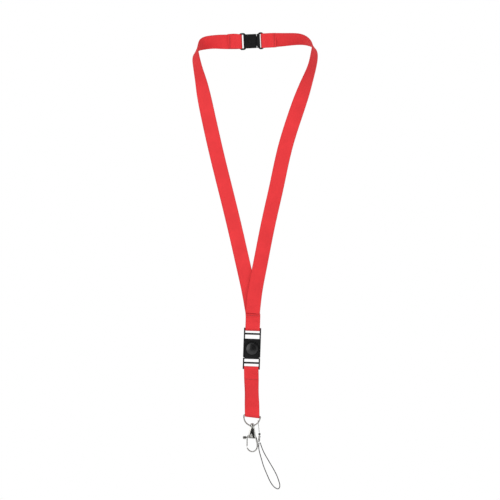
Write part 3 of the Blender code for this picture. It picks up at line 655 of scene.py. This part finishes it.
def ribbon(name, frames, closed=False, rippled=True):
    """A woven band along (middle, edge direction) frames, resampled smoothly; and its length."""
    rows = [[*f[0], *(0.02 * np.array(f[1]))] for f in frames]
    if closed:
        rows = rows[-6:] + rows + rows[:7]
    stations = run_along(np.array(rows)[:, :3])
    fine = smooth_through(rows, int(stations[-1] / RIBBON_STEP))
    if closed:
        line = run_along(fine[:, :3])
        fine = fine[(line >= stations[6]) & (line < stations[-7] - 0.3 * RIBBON_STEP)]
    middles = fine[:, :3]
    count = len(middles)
    tangents, along = directions(middles, closed)
    profile = section()
    sides = len(profile)
    verts = []
    for middle, edge, tangent, place in zip(middles, fine[:, 3:], tangents, along):
        tangent = tangent / np.linalg.norm(tangent)
        normal = np.cross(tangent, edge)
        normal /= np.linalg.norm(normal)
        side = np.cross(normal, tangent)
        free = min(max((place - RIPPLE_FREE[0]) / RIPPLE_GROWS[0], 0),
                   max((along[-1] - RIPPLE_FREE[1] - place) / RIPPLE_GROWS[1], 0), 1)
        for across, out in profile:
            lift = ripple(place, across) * free * MM if rippled else 0.0
            verts.append(middle + side * across + normal * (out + lift))
    faces = []
    uvs = []
    for i in range(count if closed else count - 1):
        j = (i + 1) % count
        for k in range(sides):
            m = (k + 1) % sides
            faces.append((sides * i + k, sides * j + k, sides * j + m, sides * i + m))
            a, b = profile[k][0], profile[m][0]
            uvs.append([(a, along[i]), (a, along[i + 1]), (b, along[i + 1]), (b, along[i])])
    if not closed:
        for first, place in ((0, 0.0), (sides * (count - 1), along[-1])):
            faces.append(tuple(range(first, first + sides)))
            uvs.append([(a, place + h) for a, h in profile])
    return mesh_of(name, verts, faces, uvs), along[-1]


def fold(reach):
    """A ribbon's turn round a bar at (0, 0): (out, across) points from one ply to the other."""
    start = [(reach, -PLY_OFFSET), (4.2 * MM, -PLY_OFFSET), (2.4 * MM, -FOLD_RADIUS * 0.8)]
    turn = arc((0, 0), FOLD_RADIUS, -75, -285, 12)
    return start + turn + [(out, -across) for out, across in reversed(start)]


def run_frames(stations, count=56):
    """Frames evenly along one half of the neck ribbon."""
    rows = [[c * MM for c in place] + [0.02 * c for c in edge] for place, edge in stations]
    return [(row[:3], row[3:] / 0.02) for row in smooth_through(rows, count)]


def nape_fold(side):
    """Frames of the tab folded round the breakaway buckle's bar; side is -1 left, 1 right."""
    turn = Euler((0, NAPE_TILT, 0)).to_matrix()
    frames = []
    for out, across in fold(TAB_END_X - SAFETY_BAR_X[side])[:-2]:
        rise = TAB_RISE * min(max(out / (4 * MM), 0), 1) if side < 0 and across < 0 else 0
        place = turn @ Vector((side * (SAFETY_BAR_X[side] + out), across, rise))
        frames.append((place, turn @ Vector((0, 0, 1))))
    return frames


def yoke_fold():
    """Frames of the loop round the push-button buckle's upper bar."""
    turn = Euler((0, BUCKLE_TILT, 0)).to_matrix()
    frames = []
    for out, across in fold(SEAM_ABOVE_BAR - GAP):
        place = YOKE + turn @ Vector((0, -across, out))
        frames.append((place, turn @ Vector((1, 0, 0))))
    return frames[1:]


def stitch_row(start, end, out):
    """A row of lockstitches from start to end on the face that looks along out."""
    out = out.normalized()
    run = end - start
    count = round(run.length / STITCH_LENGTH)
    step = run / count
    stitches = []
    for k in range(count):
        path = []
        for t in np.linspace(0.04, 0.96, 11):
            rise = min(1.0, sin(pi * (t - 0.04) / 0.92) * 2.6)
            lift = (rise - 1) * 1.5 * THREAD_RADIUS + THREAD_RADIUS * 0.55
            path.append(start + step * (k + t) + out * lift)
        stitches.append(tube(path, THREAD_RADIUS, 8, level=run.cross(out).normalized()))
    return stitches


def seam(name, turn, middle, across):
    """One row of stitches on both faces of two plies, along `across` about the middle."""
    meshes = []
    for side in (-1, 1):
        out = Vector((0, side, 0))
        ends = [middle + turn @ (across * sign * STITCH_REACH + out * STITCH_FACE)
                for sign in (-1, 1)]
        meshes += stitch_row(*ends, turn @ out)
    return joined(name, meshes)


def neck_ribbons(red, thread):
    left, left_length = ribbon("left_ribbon", nape_fold(-1) + run_frames(LEFT_RUN) + yoke_fold())
    left_strap = piece("left_ribbon", left, red, "left_half", "neck_strap_left", 60)
    right, right_length = ribbon("right_ribbon", nape_fold(1) + run_frames(RIGHT_RUN))
    right_strap = piece("right_ribbon", right, red, None, "neck_strap_right", 60)
    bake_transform(right_strap)
    turn = Euler((0, BUCKLE_TILT, 0)).to_matrix()
    middle = YOKE + turn @ Vector((0, 0, SEAM_ABOVE_BAR - SEAM_INSET))
    piece("yoke_stitches", seam("yoke_stitches", turn, middle, Vector((1, 0, 0))), thread,
          "left_half", "yoke_stitching", 80)
    turn = Euler((0, NAPE_TILT, 0)).to_matrix()
    for side, name, body in ((-1, "left", "left_half"), (1, "right", "right_half")):
        middle = turn @ Vector((side * (TAB_END_X - SEAM_INSET), 0, 0))
        piece(f"tab_stitches_{name}", seam("tab_stitches", turn, middle, Vector((0, 0, 1))), thread,
              body, f"tab_stitching_{name}", 80)


def pendant(red, thread):
    top = YOKE + Euler((0, BUCKLE_TILT, 0)).to_matrix() @ Vector((0, 0, LOWER_BAR_Z))
    length = (top - RING_BAR).length
    ring_radius = RING_WIRE + GAP + STRAP_THICK / 2
    # Half the distance between the plies at each share of the way from the buckle to the ring
    shares = [0.0, 0.07, 0.14, 0.86, 0.93, 1.0]
    gaps = [FOLD_RADIUS, 1.2 * MM, PLY_OFFSET, PLY_OFFSET, 1.1 * MM, ring_radius]

    def turn_at(along):
        share = min(max(along, 0.0), 1.0)
        tilt = BUCKLE_TILT + (RING_TILT - BUCKLE_TILT) * share
        twist = PENDANT_TWIST * sin(pi * share) ** 2
        return Matrix.Rotation(tilt, 3, "Y") @ Matrix.Rotation(twist, 3, "Z")

    def frame_at(along, out):
        turn = turn_at(along)
        middle = top.lerp(RING_BAR, along) + turn @ Vector((0, out, 0))
        return middle, turn @ Vector((1, 0, 0))

    def half_turn(start, side, radius):
        bends = [pi * k / 8 for k in range(1, 8)]
        return [frame_at(start + side * radius * sin(a) / length,
                         -side * cos(a) * radius) for a in bends]

    places = [0.0, 0.035, 0.07, 0.105, 0.14, 0.25, 0.37, 0.5, 0.63, 0.75, 0.86, 0.895, 0.93,
              0.965, 1.0]
    plies = [(t, float(np.interp(t, shares, gaps))) for t in places]
    frames = [frame_at(t, -gap) for t, gap in plies] + half_turn(1, 1, ring_radius)
    frames += [frame_at(t, gap) for t, gap in reversed(plies)] + half_turn(0, -1, FOLD_RADIUS)
    mesh, around = ribbon("pendant_ribbon", frames, closed=True, rippled=False)
    strap = piece("pendant_ribbon", mesh, red, "pendant", "pendant_strap", 60)
    middle = top.lerp(RING_BAR, PENDANT_SEAM)
    stitches = seam("pendant_stitches", turn_at(PENDANT_SEAM), middle, Vector((1, 0, 0)))
    piece("pendant_stitches", stitches, thread, "pendant", "pendant_stitching", 80)


# ---------------- breakaway buckle

def strap_eye(side):
    """The round loop at one end of the buckle: two cheeks out of the body and the ribbon's bar."""
    xs = sorted((side * (SAFETY_BODY[0] - MM), side * SAFETY_BAR_X[side]))
    high = EYE_HALF_HEIGHT - BAR_RADIUS
    loop = rounded_rectangle(*xs, -high, high, EYE_CORNER, 8)
    return tube([(x, 0, z) for x, z in loop], (BAR_RADIUS, 1.2 * BAR_RADIUS), 20, closed=True)


def rounded_box(low, high, radius, bevel):
    """A moulded block: corners of radius in the XZ plane, edges rounded by bevel."""
    outline = rounded_rectangle(low[0], high[0], low[2], high[2], radius)
    return built(prism(outline, low[1], high[1]), bevel=bevel)


def breakaway_buckle(black):
    turn = Matrix.Rotation(NAPE_TILT, 4, "Y")
    half_length, half_depth, half_height = SAFETY_BODY
    start = SAFETY_SPLIT_X + GAP
    pocket = box((-POCKET_HALF, -1.5 * MM, -POCKET_HALF),
                 (SAFETY_SPLIT_X + MM, 1.5 * MM, POCKET_HALF))
    socket = rounded_box((-half_length - SOCKET_LONGER, -half_depth, -half_height),
                         (SAFETY_SPLIT_X, half_depth, half_height), 0.5 * MM, 0.35 * MM)
    steps = [(JOIN, strap_eye(-1)), (CUT, pocket)]
    for face in (-1, 1):
        for x in GROOVES_X:
            groove = rounded_rectangle(x - 0.22 * MM, x + 0.22 * MM, -5.3 * MM, 5.3 * MM,
                                       0.2 * MM, 3)
            low, high = sorted((face * (half_depth - 0.25 * MM), face * (half_depth + MM)))
            steps.append((CUT, prism(groove, low, high)))
        ring = turned(softened(rod(2.5 * MM, -0.3 * MM, 0.3 * MM), 0.12 * MM), (0, 1, 0), 40,
                      (STUD_X, face * half_depth, 0))
        stud = turned(softened(rod(1.7 * MM, -0.35 * MM, 0.14 * MM), 0.12 * MM), (0, face, 0), 40,
                      (STUD_X, face * (half_depth - 0.2 * MM), 0))
        steps += [(CUT, ring), (JOIN, stud)]
    piece("breakaway_socket", moved(built(socket, *steps), turn), black, "left_half",
          "safety_socket", 32)
    plug = rounded_box((start, -half_depth, -half_height),
                       (half_length + PLUG_LONGER, half_depth, half_height), 0.5 * MM, 0.35 * MM)
    core = box((2.6 * MM, -1.3 * MM, -5.0 * MM), (start + MM, 1.3 * MM, 5.0 * MM))
    steps = [(JOIN, strap_eye(1)), (JOIN, core)]
    for side in (-1, 1):
        root = [(start + MM, side * z * MM) for z in PRONG_ROOT]
        prong = [root[0], *[(x * MM, side * z * MM) for x, z in PRONG_TIP], root[1]]
        prong = built(prism(prong, -1.1 * MM, 1.1 * MM), bevel=0.18 * MM, angle=20)
        steps.append((JOIN, prong))
    piece("breakaway_plug", moved(built(plug, *steps), turn), black, "right_half", "safety_plug",
          32)


# ---------------- push-button buckle

def ladder(bar_z, rung_z, body_z):
    """Side rails to a round end bar, with one rung between them: the steps that add them."""
    side = copysign(1, bar_z - body_z)
    end = bar_z + side * (BAR_RADIUS + 0.1 * MM)
    low, high = sorted((body_z - side * MM, end))
    edge = BUCKLE_HALF_WIDTH - 0.06 * MM
    reach = edge - 0.4 * RAIL_WIDTH
    depth = RAIL_HALF_DEPTH - 0.1 * MM
    rung = rounded_box((-reach, -depth, rung_z - RUNG_HALF_HEIGHT),
                       (reach, depth, rung_z + RUNG_HALF_HEIGHT), 0.3 * MM, 0.2 * MM)
    parts = [rung, bar(reach, (1, 0, 0), (0, 0, bar_z))]
    for x in (-edge, edge - RAIL_WIDTH):
        parts.append(rounded_box((x, -RAIL_HALF_DEPTH, low),
                                 (x + RAIL_WIDTH, RAIL_HALF_DEPTH, high), 0.35 * MM, 0.2 * MM))
    return [(JOIN, part) for part in parts]


def arch(radius, end_z, low, high):
    """Half round about the button, straight sides below, open downwards."""
    outline = arc((0, BUTTON_Z), radius, 0, 180, 40) + [(-radius, end_z), (radius, end_z)]
    return prism(outline, low, high)


def dome_profile(depth):
    """Half the button's section: a straight wall, a softened rim and a shallow spherical cap."""
    rim = BUTTON_RADIUS
    ball = (rim ** 2 + BUTTON_PROUD ** 2) / (2 * BUTTON_PROUD)
    wall = [(0, BUTTON_BACK), (rim, BUTTON_BACK), (rim, depth)]
    cap = [(float(r), depth + sqrt(ball ** 2 - r ** 2) - ball + BUTTON_PROUD)
           for r in np.linspace(rim, 0, 20)[1:]]
    return softened([*wall, cap[0]], 0.35 * MM, 5)[:-1] + cap


def push_button_buckle(black, glossy):
    turn = Matrix.Translation(YOKE) @ Matrix.Rotation(BUCKLE_TILT, 4, "Y")
    width, depth = BUCKLE_HALF_WIDTH, BUCKLE_HALF_DEPTH
    below = SOCKET_END_Z - MM
    body = rounded_box((-width, -depth, SOCKET_END_Z), (width, depth, SOCKET_TOP_Z),
                       0.7 * MM, 0.4 * MM)
    cavity = box((-CAVITY[0], -CAVITY[1], below), (CAVITY[0], CAVITY[2], CAVITY_TOP_Z))
    steps = [*ladder(0.0, UPPER_RUNG_Z, SOCKET_TOP_Z), (CUT, cavity),
             (CUT, arch(NOTCH_RADIUS, below, -depth - MM, -NOTCH_BACK))]
    for side in (-1, 1):
        for k in (-1, 0, 1):
            centre = (side * (width + 0.25 * MM), 0, BUTTON_Z + k * 2.2 * MM)
            steps.append((CUT, bar(2.4 * MM, (0, 1, 0), centre, 0.55 * MM)))
    panel = rounded_rectangle(-6.2 * MM, 6.2 * MM, -26.6 * MM, -13.0 * MM, 1.2 * MM)
    steps.append((CUT, prism(panel, depth - 0.3 * MM, depth + MM)))
    piece("buckle_housing", moved(built(body, *steps), turn), black, "buckle_upper",
          "buckle_socket", 32)
    top = SOCKET_END_Z - GAP
    shoulder = rounded_box((-width, -depth, SHOULDER_END_Z), (width, depth, top),
                           0.5 * MM, 0.3 * MM)
    collar = built(arch(COLLAR_RADIUS, top - 0.5 * MM, -depth, -2.3 * MM), bevel=0.3 * MM)
    hole = prism(arc((0, BUTTON_Z), BUTTON_HOLE_RADIUS, 0, 360, 64)[:-1], -depth - MM, -2.1 * MM)
    tongue = rounded_rectangle(-6.3 * MM, 6.3 * MM, top - 0.5 * MM, -12.9 * MM, 1.5 * MM)
    tongue = built(prism(tongue, -0.1 * MM, 1.5 * MM), bevel=0.2 * MM)
    window = rounded_rectangle(-3.7 * MM, 3.7 * MM, top + 0.2 * MM, -14.6 * MM, 0.6 * MM, 3)
    steps = [*ladder(LOWER_BAR_Z, LOWER_RUNG_Z, SHOULDER_END_Z), (JOIN, collar),
             (CUT, hole), (JOIN, tongue),
             (CUT, prism(window, -MM, 3 * MM))]
    piece("buckle_insert", moved(built(shoulder, *steps), turn), black, "buckle_lower",
          "buckle_plug", 32)
    mesh = turned(dome_profile(depth), (0, -1, 0), 64, (0, 0, BUTTON_Z))
    piece("push_button", moved(mesh, turn), glossy, "button", "release_button", 50)
    spring = rounded_box((-3.3 * MM, -1.6 * MM, -27.9 * MM), (3.3 * MM, -0.6 * MM, -15 * MM),
                         0.8 * MM, 0.2 * MM)
    piece("button_leaf", moved(spring, turn), black, "button", "button_tongue", 32)


# ---------------- D-ring, hook and gate

def ring_point(degrees):
    """A point on the D-ring's wire, from the middle of its bar; 90 is its lowest."""
    a = radians(degrees)
    drop = RING_CORNER + (RING_DROP - RING_CORNER) * sin(a)
    return Matrix.Rotation(-RING_TILT, 2) @ Vector((RING_HALF_WIDTH * cos(a), -drop))


def swivel_ring(chrome):
    turn = Matrix.Rotation(-RING_TILT, 2)
    inner = RING_HALF_WIDTH - RING_CORNER
    path = [turn @ Vector(p) for p in arc((inner, -RING_CORNER), RING_CORNER, 90, 0, 6)]
    path += [ring_point(d) for d in np.linspace(5, 175, 60)]
    path += [turn @ Vector(p) for p in arc((-inner, -RING_CORNER), RING_CORNER, 180, 90, 6)]
    wire = tube([(p.x, 0, p.y) for p in path], RING_WIRE, 20, closed=True)
    hub = rod(HUB_RADIUS, -RING_DROP - HUB_HALF_HEIGHT, -RING_DROP + HUB_HALF_HEIGHT)
    hub = turned(softened(hub, 0.45 * MM), (0, 0, 1), 40)
    bore = bar(3 * MM, (0, 0, 1), (0, 0, -RING_DROP), STEM_RADIUS + GAP * 0.6)
    mesh = built(wire, (JOIN, hub), (CUT, bore))
    piece("swivel_ring", moved(mesh, Matrix.Translation(RING_BAR)), chrome, "ring", "d_ring", 50)


def outline_of(points):
    return [(x * MM, z * MM) for x, z in points]


def wire_line(points, count):
    """A smooth line in the XZ plane through (x, z) points in millimetres."""
    return smooth_through([(x * MM, 0, z * MM) for x, z in points], count)


def hook_recess(face):
    """The hollow triangle low on one face of the hook, deepest along its left edge."""
    floor = [Vector((x * MM, face * (HOOK_HALF_DEPTH - d * MM), z * MM)) for x, z, d in RECESS]
    return three_sided(floor + [Vector((v.x, face * (HOOK_HALF_DEPTH + MM), v.z)) for v in floor])


def hook_facet(face, side, top_x, low_x):
    """The wedge that slopes one side of one face, along a line down the hook."""
    start = Vector((top_x * MM, face * HOOK_HALF_DEPTH, FACET_Z[0] * MM))
    run = Vector((low_x * MM, face * HOOK_HALF_DEPTH, FACET_Z[1] * MM)) - start
    outward = Vector((side * -run.z, 0, side * run.x)).normalized()
    slope = outward * cos(FACET) - Vector((0, face * sin(FACET), 0))
    first = start - run * 0.3
    end = [first, first + slope * 8 * MM, first + Vector((0, face * 4 * MM, 0))]
    return three_sided(end + [v + run * 1.6 for v in end])


def tapered(count, radii, share, drop=0.0):
    """Radii along a wire that thins by `drop` and is rounded over the last share of its length."""
    result = []
    for t in np.linspace(0, 1, count):
        scale = (1.0 - drop * t) * (0.15 + 0.85 * min(1.0, sqrt((1.0 - t) / share)))
        result.append((radii[0] * scale, radii[1] * scale))
    return result


def trigger_hook(chrome, steel):
    place = Matrix.Translation(RING_BAR + Vector((0, 0, -RING_DROP)))
    pin = (PIN_POINT[0], 0, PIN_POINT[1])
    collar = -HUB_HALF_HEIGHT - GAP
    outline = [(-HOOK_NECK, collar), (HOOK_NECK, collar), *outline_of(HOOK_SIDES)]
    body = built(prism(outline, -HOOK_HALF_DEPTH, HOOK_HALF_DEPTH), bevel=0.55 * MM, angle=20,
                 segments=4)
    line = wire_line(CLAW_LINE, 64)
    head = HUB_HALF_HEIGHT + GAP
    stem = [(0, collar - MM), (STEM_RADIUS, collar - MM), (STEM_RADIUS, head),
            (HEAD_RADIUS, head), (HEAD_RADIUS, head + 0.35 * MM),
            (HEAD_RADIUS * 0.75, head + 0.8 * MM), (0, head + MM)]
    slot = prism(outline_of(HOOK_SLOT), -SLOT_HALF_DEPTH, SLOT_HALF_DEPTH)
    steps = [(JOIN, tube(line, tapered(len(line), CLAW_RADIUS, 0.03, 0.22), 20)),
             (JOIN, turned(softened(stem, 0.25 * MM), (0, 0, 1), 32)),
             (CUT, slot),
             (CUT, bar(4 * MM, (0, 1, 0), pin, PIN_RADIUS + 0.1 * MM))]
    for face in (-1, 1):
        steps += [(CUT, hook_facet(face, *line)) for line in FACET_LINES]
        steps.append((CUT, hook_recess(face)))
    piece("trigger_hook", moved(built(body, *steps), place), chrome, "hook", "hook_body", 36)
    rivet = softened(rod(PIN_RADIUS, -1.95 * MM, 1.95 * MM), 0.3 * MM)
    piece("gate_rivet", moved(turned(rivet, (0, 1, 0), 32, pin), place), steel, "hook", "gate_pin",
          50)
    strip = tube(wire_line(LEAF_LINE, 30), (0.18 * MM, 0.6 * MM), 12)
    piece("gate_leaf_spring", moved(strip, place), steel, "hook", "gate_spring", 50)
    piece("thumb_gate", moved(gate_mesh(), place @ Matrix.Translation(pin)), chrome, "gate",
          "gate_lever", 36)


def gate_mesh():
    """The gate about its pin: a disc, a wire arm, a short neck and the ribbed thumb block."""
    disc = softened(rod(GATE_DISC, -GATE_HALF_DEPTH, GATE_HALF_DEPTH), 0.3 * MM)
    arm = wire_line(GATE_ARM, 60)
    neck = [(x * MM, 0, z * MM) for x, z in GATE_NECK]
    thumb = built(prism(rounded_rectangle(*THUMB, 1.1 * MM), -1.6 * MM, 1.6 * MM),
                  bevel=0.35 * MM, segments=4)
    widths = tapered(len(arm), (0.5 * MM, GATE_HALF_DEPTH), 0.06)
    steps = [(JOIN, tube(arm, widths, 20)),
             (JOIN, tube(neck, (0.9 * MM, GATE_HALF_DEPTH), 20)), (JOIN, thumb),
             (CUT, bar(4 * MM, (0, 1, 0), (0, 0, 0), PIN_RADIUS + 0.1 * MM))]
    for k in (-1, 0, 1):
        centre = (THUMB[0] - 0.45 * MM, k * 0.75 * MM, -3 * MM)
        steps.append((CUT, bar(2 * MM, (0, 0, 1), centre, 0.4 * MM)))
    return built(turned(disc, (0, 1, 0), 40), *steps)


# ---------------- phone loop

def phone_loop(chrome, glossy, braid):
    hang = ring_point(LINK_PLACE)
    place = Matrix.Translation(RING_BAR + Vector((hang.x, 0, hang.y)))
    lean = Euler((radians(-12), radians(-6), 0)).to_matrix()
    low = LINK_HALF * 0.4
    path = arc((0, 0), LINK_HALF, 0, 180, 20) + arc((0, -LINK_REACH), low, 180, 360, 14)
    quarter = Matrix.Rotation(radians(90), 3, "Z")
    wire = tube([(x, 0, z) for x, z in path], LINK_WIRE, 14, closed=True)
    mesh = moved(wire, place @ (lean @ quarter).to_4x4())
    piece("loop_link", mesh, chrome, "phone_loop", "phone_link", 60)
    down = lean @ Vector((0, 0, -1))
    centre = down * (LINK_REACH + low + LINK_WIRE + GAP + BEAD_RADIUS)
    flat = BEAD_RADIUS * 0.86
    ball = [(BEAD_RADIUS * sin(a), -BEAD_RADIUS * cos(a))
            for a in np.radians(np.linspace(30, 150, 17))]
    mesh = turned([(0, -flat), *ball, (0, flat)], down, 32, centre)
    piece("loop_bead", moved(mesh, place), glossy, "phone_loop", "phone_bead", 50)
    start = centre + down * (BEAD_RADIUS + GAP)
    run = CRIMP_END - start
    long = run.length
    waist = CRIMP_RADIUS * 0.82
    profile = [(0, 0), (0.75 * MM, 0), (CRIMP_RADIUS, 0.4 * MM), (CRIMP_RADIUS, long * 0.3),
               (waist, long * 0.38), (waist, long * 0.5), (CRIMP_RADIUS, long * 0.58),
               (CRIMP_RADIUS, long - 0.4 * MM), (0.8 * MM, long), (0, long)]
    mesh = turned(softened(profile, 0.25 * MM), run.normalized(), 32, start)
    piece("loop_crimp", moved(mesh, place), chrome, "phone_loop", "phone_crimp", 50)
    line = smooth_through([[c * MM for c in p] for p in CORD_ROUTE], 220) + np.array(RING_BAR)
    mesh = tube(line, CORD_DIAMETER / 2, 14)
    cord = piece("loop_cord", mesh, braid, "phone_loop", "phone_cord", 60)


# ---------------- studio

def soft_box(name, azimuth, elevation, distance, size, power):
    """An area lamp that faces the object; azimuth 0 is the camera's side, positive to the right."""
    lamp = bpy.data.lights.new(name, "AREA")
    lamp.shape = "RECTANGLE"
    lamp.size, lamp.size_y = size
    lamp.energy = power
    item = placed(name, lamp)
    a, e = radians(azimuth), radians(elevation)
    back = Vector((sin(a) * cos(e), -cos(a) * cos(e), sin(e)))
    item.location = AIM + back * distance
    item.rotation_euler = (-back).to_track_quat("-Z", "Y").to_euler()


def studio():
    """A dim room in reflections, a pale one for diffuse light and white behind the object."""
    scene = bpy.context.scene
    scene.view_settings.view_transform = "Standard"
    world = bpy.data.worlds.new("studio")
    scene.world = world
    world.use_nodes = True
    tree = world.node_tree
    tree.nodes.clear()
    way = tree.nodes.new("ShaderNodeTexCoord").outputs["Generated"]
    split = tree.nodes.new("ShaderNodeSeparateXYZ")
    tree.links.new(way, split.inputs["Vector"])
    front = calc(tree, "MULTIPLY", split.outputs["Y"], -1.0)
    room = tree.nodes.new("ShaderNodeValToRGB")
    room.color_ramp.elements[0].position = 0.1
    room.color_ramp.elements[0].color = (0.1, 0.1, 0.1, 1)
    room.color_ramp.elements[1].position = 0.8
    room.color_ramp.elements[1].color = (0.02, 0.02, 0.02, 1)
    tree.links.new(front, room.inputs["Fac"])
    path = tree.nodes.new("ShaderNodeLightPath").outputs
    shown = tree.nodes.new("ShaderNodeBackground").outputs[0]
    tree.links.new(room.outputs["Color"], shown.node.inputs["Color"])
    for ray, level in (("Is Diffuse Ray", 0.72), ("Is Camera Ray", 1.0)):
        other = tree.nodes.new("ShaderNodeBackground")
        other.inputs["Color"].default_value = (level, level, level, 1)
        mix = tree.nodes.new("ShaderNodeMixShader")
        tree.links.new(path[ray], mix.inputs["Fac"])
        tree.links.new(shown, mix.inputs[1])
        tree.links.new(other.outputs[0], mix.inputs[2])
        shown = mix.outputs[0]
    tree.links.new(shown, tree.nodes.new("ShaderNodeOutputWorld").inputs["Surface"])
    soft_box("left_box", azimuth=-37, elevation=14, distance=1.5, size=(1.0, 1.5), power=9.5)
    soft_box("right_box", azimuth=58, elevation=8, distance=1.6, size=(0.8, 1.5), power=5)
    soft_box("top_box", azimuth=0, elevation=62, distance=1.5, size=(1.2, 0.8), power=5)
    soft_box("back_box", azimuth=180, elevation=35, distance=1.6, size=(0.8, 0.5), power=4)
    mat, tree, shader = new_material("floor")
    shader.inputs["Base Color"].default_value = (0.8, 0.8, 0.8, 1)
    shader.inputs["Roughness"].default_value = 0.9
    mesh = turned([(0, -0.02), (1.0, -0.02), (1.0, 0), (0, 0)], (0, 0, 1), 96, (0, 0, FLOOR_Z))
    floor = placed("floor", mesh)
    mesh.materials.append(mat)


def camera():
    data = bpy.data.cameras.new("camera")
    data.sensor_width = 36
    data.lens = 36 * CAMERA_DISTANCE / PICTURE_WIDTH
    data.clip_end = 100
    item = placed("camera", data)
    item.location = AIM + Vector((0, -CAMERA_DISTANCE, 0))
    item.rotation_euler = (radians(90), 0, 0)
    bpy.context.scene.camera = item


# ---------------- the lanyard

camera()
studio()
red_ribbon = woven_ribbon("red_ribbon", (0.50, 0.013, 0.017), (0.88, 0.036, 0.042))
red_thread = sewing_thread("red_thread", (0.30, 0.010, 0.014), (0.6, 0.024, 0.031))
black_plastic = moulded_plastic("black_plastic", rough_low=0.42, rough_high=0.6, grain=0.5,
                                gloss=0.22)
button_plastic = moulded_plastic("button_plastic", rough_low=0.26, rough_high=0.34, grain=0.2,
                                 gloss=0.6)
chrome_plate = plated_metal("chrome", (0.42, 0.415, 0.39), (0.56, 0.555, 0.53), rough_low=0.12,
                            rough_high=0.24, unevenness=0.12)
spring_steel = plated_metal("spring_steel", (0.3, 0.3, 0.31), (0.45, 0.45, 0.46), rough_low=0.25,
                            rough_high=0.4, unevenness=0.25)
braid_black = braided_cord("cord_black", (0.012, 0.012, 0.013), (0.06, 0.06, 0.062))
phone_loop(chrome_plate, button_plastic, braid_black)
neck_ribbons(red_ribbon, red_thread)
pendant(red_ribbon, red_thread)
breakaway_buckle(black_plastic)
push_button_buckle(black_plastic, button_plastic)
swivel_ring(chrome_plate)
trigger_hook(chrome_plate, spring_steel)
